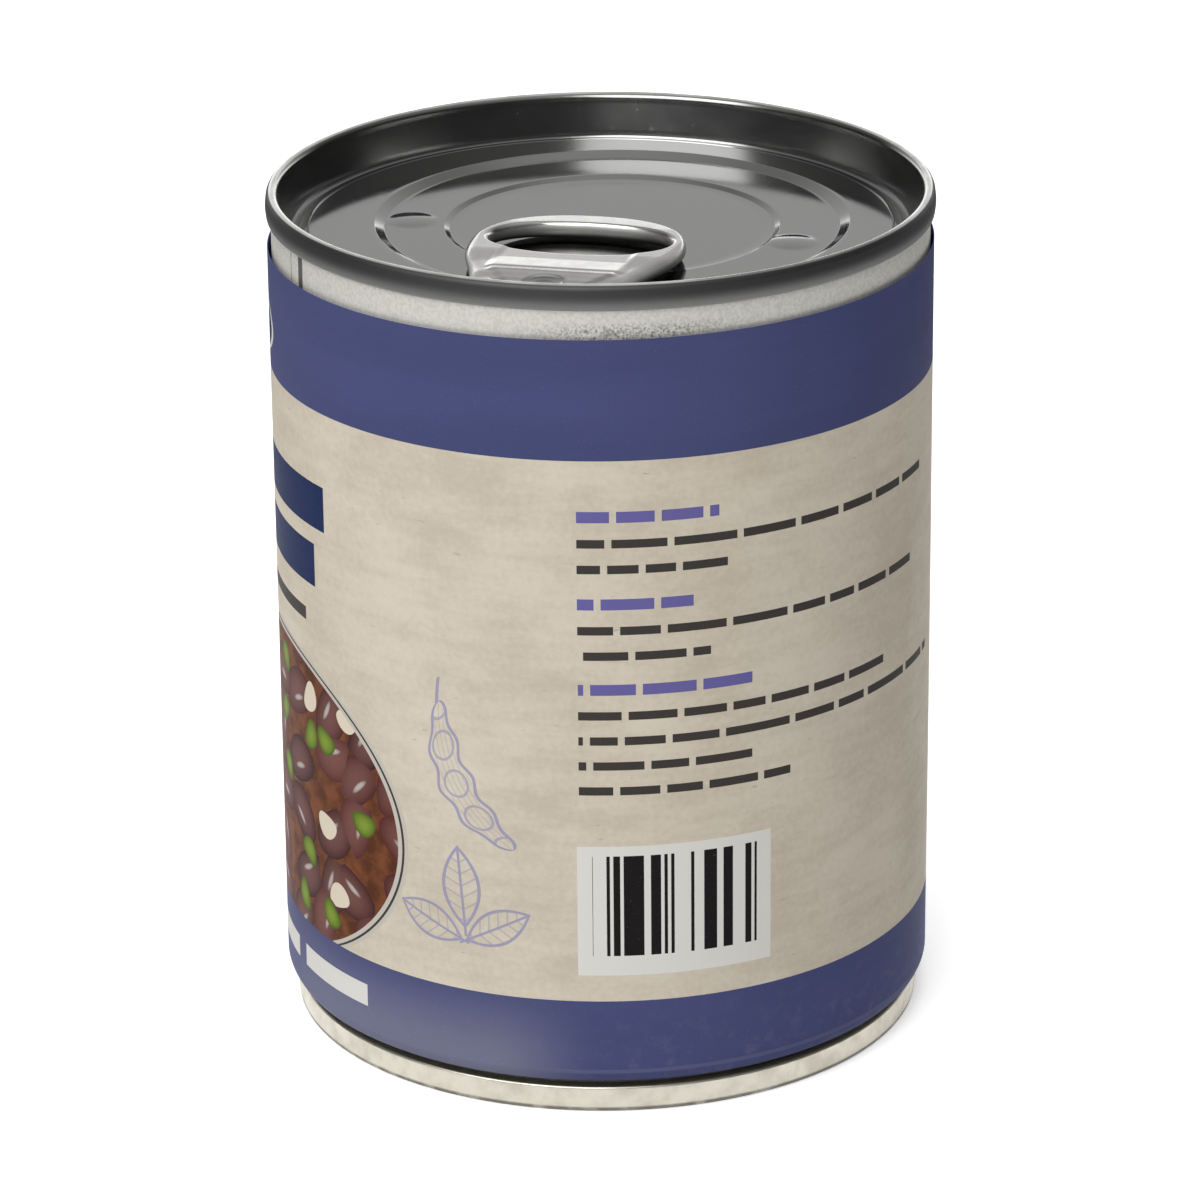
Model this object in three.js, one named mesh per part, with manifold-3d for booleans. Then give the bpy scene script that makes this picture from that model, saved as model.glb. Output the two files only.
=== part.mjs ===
// A shut food can with a ring-pull lid and a wrapped paper label.
// Millimetres, +Z up. The origin is the middle of the foot, and the side with the tab faces -Y.

import * as THREE from "three";
import { mergeVertices } from "three/addons/utils/BufferGeometryUtils.js";
import Module from "manifold-3d";

// Whole can
const HEIGHT = 99.0;
const AROUND = 72;
const CLEARANCE = 0.35;
const CURVE_FACETS = 10;
const ROUND_FACETS = 3;

// Can body
const BODY_R = 37.5;
const NECK_R = 35.65;
const NECK_LOW = 4.1;
const NECK_HIGH = 6.8;
const NECK_FACETS = 6;
const BODY_HEEL = 0.6;

// Seam at the top, and the dished lid inside it
const SEAM_R = 38.1;
const SEAM_TALL = 2.95;
const SEAM_THICK = 1.4;
const SEAM_ROUND = 0.8;
const SEAM_FACETS = 6;
const SEAM_CHAMFER = 0.35;
const SEAM_BACK = 0.2;
const WALL_FOOT_R = 35.65;
const LID_DEPTH = 4.7;
const LID_GAUGE = 0.5;
const LID_SKIN = 0.25;
const LID_HEEL = 0.3;
const SCORE_R = 33.3;
const SCORE_HALF = 0.15;
const SCORE_DEEP = 0.18;

// Groove at the foot of the lid's wall, with heights from the panel
const GROOVE = [
  { r: 35.65, z: 0.35 },
  { r: 35.4, z: -0.15 },
  { r: 34.95, z: -0.35 },
  { r: 34.5, z: -0.3 },
  { r: 34.1, z: 0 },
];

// Two steps down to the middle of the panel, pressed about a point a little behind the can's axis
const OUTER_STEP = { high: 27.2, low: 24.8, drop: 0.5 };
const INNER_STEP = { high: 19.6, low: 17.2, drop: 0.4 };
const STEPS_MIDDLE = { x: -0.95, y: -1.75 };
const STEP_FACETS = 4;

// Two small bumps beside the tab
const BUMP_R = 2.9;
const BUMP_TALL = 0.25;
const BUMP_ROOT = 0.2;
const BUMP_AROUND = 20;
const BUMP_FACETS = 4;
const BUMPS = [{ x: 21.6, y: 1.45 }, { x: -22.3, y: 1.45 }];

// The lid is turned so that the tab's nose points at the front, a little to the left
const LID_TURN_DEG = 167.5;

// Rivet, in the lid's own frame, where the tab lies along +Y
const RIVET_Y = 29.0;
const RIVET_ROOT = 0.2;
const RIVET_STEM_R = 1.6;
const RIVET_HEAD_R = 2.5;
const RIVET_HEAD_TALL = 0.4;
const RIVET_RIM_TALL = 0.2;
const RIVET_CHAMFER = 0.4;
const RIVET_AROUND = 28;

// Ring-pull tab: its ring end hangs lower than its nose, and its outline is drawn by curves with handles
const TAB_LIFT = 0.55;
const TAB_TALL = 1.7;
const TAB_ROUND = 0.6;
const TAB_TILT_DEG = 2.2;
const TAB_HALF_WIDTH = 12.2;
const TAB_WIDEST_Y = 12.9;
const TAB_RING_END = 0.9;
const TAB_NOSE_END = 33.4;
const TAB_SHOULDER = { x: 8.9, y: 27.3 };
const RING_HANDLE = { wide: 0.66, rise: 4.7 };
const WAIST_HANDLE = { ahead: 6.0, out: 0.7, back: 5.0 };
const NOSE_HANDLE = { in: 1.0, ahead: 3.4, wide: 0.5 };
const FINGER_HOLE = { x: 10.3, front: 16.9, back: 4.6, square: 0.62 };
const WEB_DEEP = 0.6;
const WEB = { back: 18.8, front: 31.0, wide: 8.2, narrow: 6.4, bend: 26.5 };
const BAR = { back: 18.2, front: 24.6, half: 6.9, below: 0.1, root: 0.3, round: 0.25 };
const ISLAND_R = 3.2;
const ISLAND_GAUGE = 0.4;
const RIVET_HOLE_R = 1.95;

// Bottom end
const FOOT_SEAM_R = 36.85;
const FOOT_SEAM_TALL = 3.1;
const FOOT_FLAT = { inner: 35.3, outer: 36.4 };
const FOOT_DEPTH = 3.05;
const FOOT_GAUGE = 0.8;
const FOOT_WALL_R = 34.3;
const FOOT_BEADS = [29.0, 22.0];
const FOOT_BEAD_HALF = 1.6;
const FOOT_BEAD_DEEP = 0.5;
const FOOT_TURN_IN = 0.4;
const FOOT_HEEL = { in: 0.3, high: 0.35 };
const FOOT_TOE_HIGH = 0.45;
const FOOT_SEAM_CHAMFER = 0.35;
const FOOT_RIM_IN = 0.25;
const FOOT_ROOF_IN = 0.8;

// Paper label
const LABEL_R = 38.15;
const LABEL_GAUGE = 0.3;
const LABEL_TOP = 93.1;
const LABEL_CREASE = 6.2;
const LABEL_BOTTOM = 4.95;
const LABEL_TUCK = 0.6;
const LABEL_TUCK_HALFWAY = 0.3;

const wasm = await Module();
wasm.setup();

const PANEL_Z = HEIGHT - LID_DEPTH;
const MIDDLE_Z = PANEL_Z - OUTER_STEP.drop;
const CENTRE_Z = MIDDLE_Z - INNER_STEP.drop;
const LID_UNDER = CENTRE_Z - LID_GAUGE;
const SEAM_LOW = HEIGHT - SEAM_TALL;
const SEAM_INNER_R = SEAM_R - SEAM_THICK;
const TAB_LOW = PANEL_Z + TAB_LIFT;
const TAB_HIGH = TAB_LOW + TAB_TALL;

function point(r, z) {
  return new THREE.Vector2(r, z);
}

// An S-shaped run between two points of a profile
function smoothRun(from, to, facets) {
  const run = [];
  for (let i = 0; i <= facets; i += 1) {
    const t = i / facets;
    const eased = t * t * (3 - 2 * t);
    run.push(point(from.x + (to.x - from.x) * t, from.y + (to.y - from.y) * eased));
  }
  return run;
}

// Half an ellipse over the top, from its outer side to its inner side
function crown(middle, halfWidth, tall, facets) {
  const run = [];
  for (let i = 0; i <= facets; i += 1) {
    const angle = (Math.PI * i) / facets;
    run.push(point(middle.x + halfWidth * Math.cos(angle), middle.y + tall * Math.sin(angle)));
  }
  return run;
}

// A solid turned round Z from a profile of radius and height that runs anticlockwise
function turned(profile, around = AROUND) {
  const geometry = new THREE.LatheGeometry(profile, around);
  return geometry.rotateX(Math.PI / 2);
}

function toSolid(geometry) {
  const bare = geometry.clone();
  bare.deleteAttribute("normal");
  bare.deleteAttribute("uv");
  const merged = mergeVertices(bare, 1e-4);
  const corners = merged.index.array;
  const kept = [];
  for (let i = 0; i < corners.length; i += 3) {
    const [a, b, c] = corners.slice(i, i + 3);
    if (a !== b && b !== c && c !== a) kept.push(a, b, c);
  }
  return new wasm.Manifold(new wasm.Mesh({
    numProp: 3,
    vertProperties: Float32Array.from(merged.attributes.position.array),
    triVerts: Uint32Array.from(kept),
  }));
}

function toGeometry(solid) {
  const mesh = solid.getMesh();
  const geometry = new THREE.BufferGeometry();
  geometry.setAttribute("position", new THREE.BufferAttribute(mesh.vertProperties, 3));
  geometry.setIndex(new THREE.BufferAttribute(mesh.triVerts, 1));
  geometry.computeVertexNormals();
  return geometry;
}

function named(name, geometry, colour, roughness, metalness) {
  const material = new THREE.MeshStandardMaterial({ color: colour, roughness, metalness });
  const mesh = new THREE.Mesh(geometry, material);
  mesh.name = name;
  return mesh;
}

// A plate from an outline, its lower face at the given height and its edges rounded
function plate(shape, low, tall, round = 0) {
  const geometry = new THREE.ExtrudeGeometry(shape, {
    depth: tall - 2 * round,
    curveSegments: CURVE_FACETS,
    bevelEnabled: round > 0,
    bevelThickness: round,
    bevelSize: round,
    bevelOffset: -round,
    bevelSegments: ROUND_FACETS,
  });
  return geometry.translate(0, 0, low + round);
}

// Filled tinplate body: straight wall, drawn in above the foot, dished for both ends
function canBody() {
  const foot = FOOT_DEPTH + FOOT_GAUGE + CLEARANCE;
  const rim = SEAM_LOW - CLEARANCE;
  const roof = LID_UNDER - CLEARANCE;
  const dish = WALL_FOOT_R + LID_SKIN + CLEARANCE;
  return turned([
    point(0, foot),
    point(NECK_R - BODY_HEEL, foot),
    point(NECK_R, FOOT_SEAM_TALL + CLEARANCE),
    ...smoothRun(point(NECK_R, NECK_LOW), point(BODY_R, NECK_HIGH), NECK_FACETS),
    point(BODY_R, rim),
    point(SEAM_INNER_R - SEAM_BACK + CLEARANCE, rim),
    point(dish, roof + LID_HEEL),
    point(dish - LID_HEEL, roof),
    point(0, roof),
  ]);
}

// Lid pressed from one sheet: rolled seam, wall, groove, score and a flat panel
function lidSheet() {
  const seamMiddle = point(SEAM_R - SEAM_THICK / 2, HEIGHT - SEAM_ROUND);
  const skin = WALL_FOOT_R + LID_SKIN;
  return turned([
    point(0, LID_UNDER),
    point(skin - LID_HEEL, LID_UNDER),
    point(skin, LID_UNDER + LID_HEEL),
    point(SEAM_INNER_R - SEAM_BACK, SEAM_LOW),
    point(SEAM_R - SEAM_CHAMFER, SEAM_LOW),
    point(SEAM_R, SEAM_LOW + SEAM_CHAMFER),
    ...crown(seamMiddle, SEAM_THICK / 2, SEAM_ROUND, SEAM_FACETS),
    ...GROOVE.map(({ r, z }) => point(r, PANEL_Z + z)),
    point(SCORE_R + SCORE_HALF, PANEL_Z),
    point(SCORE_R, PANEL_Z - SCORE_DEEP),
    point(SCORE_R - SCORE_HALF, PANEL_Z),
    point(0, PANEL_Z),
  ]);
}

// Room above the two steps, taken out of the flat panel
function steppedDish() {
  const over = HEIGHT;
  const innerLow = point(INNER_STEP.low, CENTRE_Z);
  const innerHigh = point(INNER_STEP.high, MIDDLE_Z);
  const outerLow = point(OUTER_STEP.low, MIDDLE_Z);
  const outerHigh = point(OUTER_STEP.high, PANEL_Z);
  return turned([
    point(0, CENTRE_Z),
    ...smoothRun(innerLow, innerHigh, STEP_FACETS),
    ...smoothRun(outerLow, outerHigh, STEP_FACETS),
    point(OUTER_STEP.high, over),
    point(0, over),
  ]).translate(STEPS_MIDDLE.x, STEPS_MIDDLE.y, 0);
}

function bump({ x, y }) {
  const root = MIDDLE_Z - BUMP_ROOT;
  const dome = crown(point(0, MIDDLE_Z), BUMP_R, BUMP_TALL, 2 * BUMP_FACETS).slice(0, BUMP_FACETS + 1);
  dome[BUMP_FACETS].x = 0;
  return turned([point(0, root), point(BUMP_R, root), ...dome], BUMP_AROUND).translate(x, y, 0);
}

// Rivet raised from the lid's own sheet, its head spread over the tab's nose
function rivet() {
  const root = PANEL_Z - RIVET_ROOT;
  const headLow = TAB_LOW + ISLAND_GAUGE + CLEARANCE;
  const headHigh = headLow + RIVET_HEAD_TALL;
  return turned([
    point(0, root),
    point(RIVET_STEM_R, root),
    point(RIVET_STEM_R, headLow),
    point(RIVET_HEAD_R, headLow),
    point(RIVET_HEAD_R, headLow + RIVET_RIM_TALL),
    point(RIVET_HEAD_R - RIVET_CHAMFER, headHigh),
    point(0, headHigh),
  ], RIVET_AROUND).translate(0, RIVET_Y, 0);
}

function easyOpenEnd() {
  let lidSolid = toSolid(lidSheet()).subtract(toSolid(steppedDish()));
  for (const place of BUMPS) lidSolid = lidSolid.add(toSolid(bump(place)));
  return toGeometry(lidSolid.add(toSolid(rivet())));
}

// Outline of the tab: a broad ring end, sides that draw in, and a round nose over the score
function tabOutline() {
  const half = TAB_HALF_WIDTH;
  const end = TAB_RING_END;
  const nose = TAB_NOSE_END;
  const { x, y } = TAB_SHOULDER;
  const ringX = half * RING_HANDLE.wide;
  const ringY = end + RING_HANDLE.rise;
  const waistY = TAB_WIDEST_Y + WAIST_HANDLE.ahead;
  const backX = x + WAIST_HANDLE.out;
  const backY = y - WAIST_HANDLE.back;
  const noseX = x - NOSE_HANDLE.in;
  const noseY = y + NOSE_HANDLE.ahead;
  const tipX = x * NOSE_HANDLE.wide;
  const shape = new THREE.Shape();
  shape.moveTo(0, end);
  shape.bezierCurveTo(ringX, end, half, ringY, half, TAB_WIDEST_Y);
  shape.bezierCurveTo(half, waistY, backX, backY, x, y);
  shape.bezierCurveTo(noseX, noseY, tipX, nose, 0, nose);
  shape.bezierCurveTo(-tipX, nose, -noseX, noseY, -x, y);
  shape.bezierCurveTo(-backX, backY, -half, waistY, -half, TAB_WIDEST_Y);
  shape.bezierCurveTo(-half, ringY, -ringX, end, 0, end);
  return shape;
}

// Oval for the finger, a little squarer than an ellipse
function fingerHole() {
  const { x, front, back, square } = FINGER_HOLE;
  const middle = (front + back) / 2;
  const reach = ((front - back) / 2) * square;
  const hole = new THREE.Path();
  hole.moveTo(x, middle);
  hole.bezierCurveTo(x, middle + reach, x * square, front, 0, front);
  hole.bezierCurveTo(-x * square, front, -x, middle + reach, -x, middle);
  hole.bezierCurveTo(-x, middle - reach, -x * square, back, 0, back);
  hole.bezierCurveTo(x * square, back, x, middle - reach, x, middle);
  return hole;
}

// Sunk web between the bar and the nose
function webPocket() {
  const { back, front, wide, narrow, bend } = WEB;
  const shape = new THREE.Shape();
  shape.moveTo(-wide, back);
  shape.lineTo(wide, back);
  shape.lineTo(narrow, bend);
  shape.bezierCurveTo(narrow, front, narrow / 2, front, 0, front);
  shape.bezierCurveTo(-narrow / 2, front, -narrow, front, -narrow, bend);
  return shape;
}

function stiffeningBar() {
  const shape = new THREE.Shape();
  shape.moveTo(-BAR.half, BAR.back);
  shape.lineTo(BAR.half, BAR.back);
  shape.lineTo(BAR.half, BAR.front);
  shape.lineTo(-BAR.half, BAR.front);
  return shape;
}

function roundCut(radius, low, high) {
  const cylinder = new THREE.CylinderGeometry(radius, radius, high - low, RIVET_AROUND);
  return cylinder.rotateX(Math.PI / 2).translate(0, RIVET_Y, (low + high) / 2);
}

function pullTab() {
  const outline = tabOutline();
  outline.holes.push(fingerHole());
  const webTop = TAB_HIGH - WEB_DEEP;
  const islandTop = TAB_LOW + ISLAND_GAUGE;
  const barLow = TAB_LOW + BAR.root;
  const barTall = TAB_HIGH - BAR.below - barLow;
  const tab = toGeometry(
    toSolid(plate(outline, TAB_LOW, TAB_TALL, TAB_ROUND))
      .subtract(toSolid(plate(webPocket(), webTop, HEIGHT - webTop)))
      .add(toSolid(plate(stiffeningBar(), barLow, barTall, BAR.round)))
      .subtract(toSolid(roundCut(ISLAND_R, islandTop, HEIGHT)))
      .subtract(toSolid(roundCut(RIVET_HOLE_R, PANEL_Z, HEIGHT))),
  );
  const tilt = THREE.MathUtils.degToRad(TAB_TILT_DEG);
  return tab.translate(0, -RIVET_Y, -TAB_LOW).rotateX(tilt).translate(0, RIVET_Y, TAB_LOW);
}

// Bottom end: flat foot, rolled seam, and a dished panel with two ring beads
function bottomEnd() {
  const inward = FOOT_BEADS.flatMap((r) => [
    point(r - FOOT_BEAD_HALF, FOOT_DEPTH),
    point(r, FOOT_DEPTH - FOOT_BEAD_DEEP),
    point(r + FOOT_BEAD_HALF, FOOT_DEPTH),
  ]);
  inward.sort((a, b) => a.x - b.x);
  const roof = FOOT_DEPTH + FOOT_GAUGE;
  return turned([
    point(0, FOOT_DEPTH),
    ...inward,
    point(FOOT_WALL_R, FOOT_DEPTH),
    point(FOOT_WALL_R + FOOT_TURN_IN, FOOT_DEPTH - FOOT_TURN_IN),
    point(FOOT_FLAT.inner - FOOT_HEEL.in, FOOT_HEEL.high),
    point(FOOT_FLAT.inner, 0),
    point(FOOT_FLAT.outer, 0),
    point(FOOT_SEAM_R, FOOT_TOE_HIGH),
    point(FOOT_SEAM_R, FOOT_SEAM_TALL - FOOT_SEAM_CHAMFER),
    point(FOOT_SEAM_R - FOOT_SEAM_CHAMFER, FOOT_SEAM_TALL),
    point(NECK_R - FOOT_RIM_IN, FOOT_SEAM_TALL),
    point(NECK_R - FOOT_ROOF_IN, roof),
    point(0, roof),
  ]);
}

// Sleeve of paper whose lowest edge is tucked in below a crease
function paperLabel() {
  const inner = LABEL_R - LABEL_GAUGE;
  const halfway = (LABEL_BOTTOM + LABEL_CREASE) / 2;
  const bend = LABEL_TUCK * LABEL_TUCK_HALFWAY;
  return turned([
    point(inner - LABEL_TUCK, LABEL_BOTTOM),
    point(LABEL_R - LABEL_TUCK, LABEL_BOTTOM),
    point(LABEL_R - bend, halfway),
    point(LABEL_R, LABEL_CREASE),
    point(LABEL_R, LABEL_TOP),
    point(inner, LABEL_TOP),
    point(inner, LABEL_CREASE),
    point(inner - bend, halfway),
    point(inner - LABEL_TUCK, LABEL_BOTTOM),
  ]);
}

const lid = new THREE.Group();
lid.rotation.z = THREE.MathUtils.degToRad(LID_TURN_DEG);
lid.add(named("easy_open_end", easyOpenEnd(), 0x8e8f8e, 0.25, 1));
lid.add(named("pull_tab", pullTab(), 0xb4b4b0, 0.22, 1));

const can = new THREE.Group();
can.add(named("can_body", canBody(), 0xcdccc5, 0.38, 1));
can.add(named("bottom_end", bottomEnd(), 0xcbc6ba, 0.35, 1));
can.add(named("paper_label", paperLabel(), 0xb9b3a0, 0.5, 0));
can.add(lid);

export default can;
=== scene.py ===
"""A shut ring-pull food can with a wrapped paper label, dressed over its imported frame."""

import math

import bpy
from bpy.props import FloatProperty, FloatVectorProperty, PointerProperty
from mathutils import Color, Matrix, Vector


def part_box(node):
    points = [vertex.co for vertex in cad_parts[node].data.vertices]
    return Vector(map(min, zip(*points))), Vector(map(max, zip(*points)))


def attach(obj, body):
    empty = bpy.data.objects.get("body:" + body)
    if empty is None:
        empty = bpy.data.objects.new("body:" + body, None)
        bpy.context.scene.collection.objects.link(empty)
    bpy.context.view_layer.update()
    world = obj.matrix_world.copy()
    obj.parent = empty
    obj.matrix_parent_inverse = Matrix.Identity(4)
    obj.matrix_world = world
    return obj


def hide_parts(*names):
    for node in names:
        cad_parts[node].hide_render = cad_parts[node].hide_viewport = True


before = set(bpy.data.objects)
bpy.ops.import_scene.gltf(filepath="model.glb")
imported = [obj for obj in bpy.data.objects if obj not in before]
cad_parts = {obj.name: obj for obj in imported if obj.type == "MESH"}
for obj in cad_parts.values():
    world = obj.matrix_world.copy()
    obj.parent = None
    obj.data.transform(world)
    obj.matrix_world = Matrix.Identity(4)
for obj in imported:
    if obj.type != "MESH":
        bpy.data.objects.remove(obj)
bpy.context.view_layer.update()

bl_info = {
    "name": "Ring-pull food can",
    "version": (1, 0, 0),
    "blender": (4, 5, 0),
    "location": "3D View > Sidebar > Food can",
    "description": "Models a shut food can with a ring-pull lid and a paper label",
    "category": "Object",
}

MM = 0.001
TURN = 2 * math.pi
DOUBLES = 0.002 * MM


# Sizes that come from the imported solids
def reach(node):
    """Largest distance of a solid from the can's axis."""
    return max(math.hypot(vertex.co.x, vertex.co.y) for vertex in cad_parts[node].data.vertices)


LID_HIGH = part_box("easy_open_end")[1].z
LABEL_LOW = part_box("paper_label")[0].z
LABEL_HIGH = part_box("paper_label")[1].z


# Settings
def length(name, description, default):
    """A size in metres."""
    return FloatProperty(name=name, description=description, default=default, unit="LENGTH", precision=5)


def bearing(name, description, degrees):
    """An angle, given in degrees."""
    return FloatProperty(name=name, description=description, default=math.radians(degrees), subtype="ANGLE")


def tint(name, description, red, green, blue):
    """A colour, given as it looks on a screen, from 0 to 255."""
    seen = Color((red / 255, green / 255, blue / 255))
    linear = seen.from_srgb_to_scene_linear()
    return FloatVectorProperty(
        name=name, description=description, default=(*linear, 1.0), size=4, subtype="COLOR", min=0.0, max=1.0
    )


class BodySettings(bpy.types.PropertyGroup):
    """Sizes and colours of the tinplate body."""

    radius: length("Radius", "Outer radius of the straight wall", reach("can_body"))
    neck_radius: length("Neck radius", "Radius where the wall is drawn in above the foot", 35.65 * MM)
    neck_low: length("Neck low", "Height where the drawing in ends", 4.1 * MM)
    neck_high: length("Neck high", "Height where the drawing in starts", 6.8 * MM)
    weld_bearing: bearing("Weld bearing", "Where the side weld lies, from the front towards the right", -63.0)
    weld_depth: length("Weld depth", "How far the side weld is pressed in", 0.09 * MM)
    bright: tint("Bright tin", "Colour of the clean tinplate", 230, 228, 220)
    dull: tint("Dull tin", "Colour of the mottled tinplate", 212, 210, 202)


class LidSettings(bpy.types.PropertyGroup):
    """Sizes and colours of the ring-pull lid."""

    top: length("Top", "Height of the rim", LID_HIGH)
    seam_radius: length("Seam radius", "Outer radius of the rolled seam", reach("easy_open_end"))
    seam_tall: length("Seam height", "Height of the rolled seam", 2.95 * MM)
    seam_thick: length("Seam thickness", "Thickness of the rolled seam", 1.4 * MM)
    seam_crown: length("Seam crown", "Height of the rounded rim", 0.8 * MM)
    seam_bow: length("Seam bow", "How far the seam's outer face bulges", 0.09 * MM)
    depth: length("Depth", "Depth of the panel below the rim", 4.7 * MM)
    gauge: length("Gauge", "Thickness of the sheet", 0.5 * MM)
    wall_foot: length("Wall foot", "Radius at the foot of the inner wall", 35.65 * MM)
    groove_round: length("Groove radius", "Radius of the groove at the wall's foot", 0.7 * MM)
    panel_radius: length("Panel radius", "Radius where the flat panel starts", 34.0 * MM)
    score_radius: length("Score radius", "Radius of the opening line", 33.3 * MM)
    score_depth: length("Score depth", "Depth of the opening line", 0.18 * MM)
    outer_high: length("Outer step, high", "Radius where the outer step starts down", 27.2 * MM)
    outer_low: length("Outer step, low", "Radius where the outer step ends", 25.9 * MM)
    outer_drop: length("Outer drop", "Height of the outer step", 0.62 * MM)
    inner_high: length("Inner step, high", "Radius where the inner step starts down", 19.2 * MM)
    inner_low: length("Inner step, low", "Radius where the inner step ends", 18.5 * MM)
    inner_drop: length("Inner drop", "Height of the inner step", 0.33 * MM)
    steps_side: length("Steps aside", "Sideways shift of the two steps from the axis", -0.95 * MM)
    steps_ahead: length("Steps ahead", "Shift of the two steps from the axis, towards the rivet", -1.75 * MM)
    bump_side: length("Bump side", "Distance of the bumps from the line between them", 21.95 * MM)
    bump_shift: length("Bump shift", "Sideways shift of the pair of bumps", -0.35 * MM)
    bump_ahead: length("Bump ahead", "Distance of the bumps from the middle, towards the rivet", 1.45 * MM)
    bump_reach: length("Bump radius", "Radius of the bumps", 2.9 * MM)
    bump_tall: length("Bump height", "Height of the bumps", 0.22 * MM)
    turn: bearing("Turn", "Turn of the lid and tab about the axis", 167.5)
    rivet_ahead: length("Rivet ahead", "Distance of the rivet from the middle", 29.0 * MM)
    rivet_radius: length("Rivet radius", "Radius of the rivet's head", 2.1 * MM)
    rivet_tall: length("Rivet height", "Height of the rivet's head", 0.2 * MM)
    steel: tint("Lacquered tin", "Colour of the lacquered sheet", 148, 148, 147)
    rim: tint("Rim", "Colour of the lacquer outside the rim", 82, 82, 82)
    # Painted reflection: the lighter tone low on the seam's outer face stands in for the mirrored pale floor.
    rim_low_painted_reflection: tint("Rim, low", "Colour of the lacquer low on the rim", 124, 124, 123)
    # Rubbed tin along the crest, made bright enough to stand in for the highlight: partly wear, partly
    # painted highlight.
    worn_and_highlit: tint("Rubbed tin", "Colour where the lacquer is rubbed", 240, 239, 235)


class TabSettings(bpy.types.PropertyGroup):
    """Sizes and colours of the ring-pull tab."""

    low: length("Low", "Height of the underside at the rivet", LID_HIGH - 4.35 * MM)
    high: length("High", "Height of the upper side at the rivet", LID_HIGH - 2.45 * MM)
    tilt: bearing("Tilt", "Fall of the whole tab from its rivet towards its ring", 2.2)
    half_width: length("Half width", "Half of the tab's width", 12.2 * MM)
    widest: length("Widest", "Distance of the widest place from the lid's middle", 12.9 * MM)
    ring_end: length("Ring end", "Distance of the ring's end from the lid's middle", 0.9 * MM)
    nose_end: length("Nose end", "Distance of the nose from the lid's middle", 33.4 * MM)
    shoulder_side: length("Shoulder side", "Half width at the shoulder", 8.9 * MM)
    shoulder_ahead: length("Shoulder ahead", "Distance of the shoulder from the lid's middle", 27.3 * MM)
    hole_half: length("Hole half width", "Half width of the finger hole", 10.3 * MM)
    hole_back: length("Hole back", "Distance of the hole's back edge from the lid's middle", 4.6 * MM)
    hole_front: length("Hole front", "Distance of the hole's front edge from the lid's middle", 16.9 * MM)
    ring_rim: length("Ring rim", "Half width of the rolled rim at the ring's end", 0.4 * MM)
    side_rim: length("Side rim", "Half width of the rolled rim beside the finger hole", 0.65 * MM)
    bar_rim: length("Bar rim", "Half width of the rolled rim between the hole and the bar", 0.7 * MM)
    flange: length("Flange", "Half width of the rolled rim beside the bar", 1.6 * MM)
    web_drop: length("Web drop", "Depth of the web below the rim", 0.16 * MM)
    island_drop: length("Island drop", "Depth of the island round the rivet below the web", 0.28 * MM)
    wing_drop: length("Wing drop", "Depth of the wings below the bar", 0.22 * MM)
    web_front: length("Web front", "Distance of the pocket's front edge from the lid's middle", 31.0 * MM)
    web_back: length("Web back", "Distance of the pocket's back edge from the lid's middle", 27.6 * MM)
    web_bend: length("Web bend", "Distance from the lid's middle where the pocket narrows", 26.5 * MM)
    web_half: length("Web half width", "Half width of the pocket round the rivet", 6.4 * MM)
    island_radius: length("Island radius", "Radius of the island round the rivet", 2.6 * MM)
    ring_tilt: bearing("Ring tilt", "Further fall of the ring's flat top towards its end", 1.3)
    bar_tilt: bearing("Bar tilt", "Further fall of the bar's flat top towards the finger hole", 1.8)
    bar_half: length("Bar half width", "Half width of the stiffening bar", 6.9 * MM)
    bar_back: length("Bar back", "Distance of the bar's back edge from the lid's middle", 19.9 * MM)
    bar_front: length("Bar front", "Distance of the bar's front edge from the lid's middle", 23.8 * MM)
    steel: tint("Steel", "Colour of the bright steel", 190, 189, 186)
    dull: tint("Dull steel", "Colour of the handled steel", 180, 179, 176)


class BaseSettings(bpy.types.PropertyGroup):
    """Sizes and colours of the base."""

    seam_radius: length("Seam radius", "Outer radius of the bottom seam", reach("bottom_end"))
    seam_tall: length("Seam height", "Height of the bottom seam", 3.1 * MM)
    seam_bow: length("Seam bow", "How far the seam's face bulges", 0.08 * MM)
    foot_inner: length("Foot, inner", "Inner radius of the flat foot", 35.3 * MM)
    foot_outer: length("Foot, outer", "Outer radius of the flat foot", 36.4 * MM)
    depth: length("Depth", "Height of the dished panel above the foot", 3.05 * MM)
    gauge: length("Gauge", "Thickness of the sheet", 0.8 * MM)
    wall_radius: length("Wall radius", "Radius of the dished panel", 34.3 * MM)
    bead_outer: length("Outer bead", "Radius of the outer ring bead", 29.0 * MM)
    bead_inner: length("Inner bead", "Radius of the inner ring bead", 22.0 * MM)
    bead_half: length("Bead half width", "Half width of the ring beads", 1.6 * MM)
    bead_deep: length("Bead depth", "Depth of the ring beads", 0.5 * MM)
    warm: tint("Warm tin", "Colour of the clean tinplate", 204, 199, 186)
    dull: tint("Dull tin", "Colour of the dull tinplate", 188, 182, 169)


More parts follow.
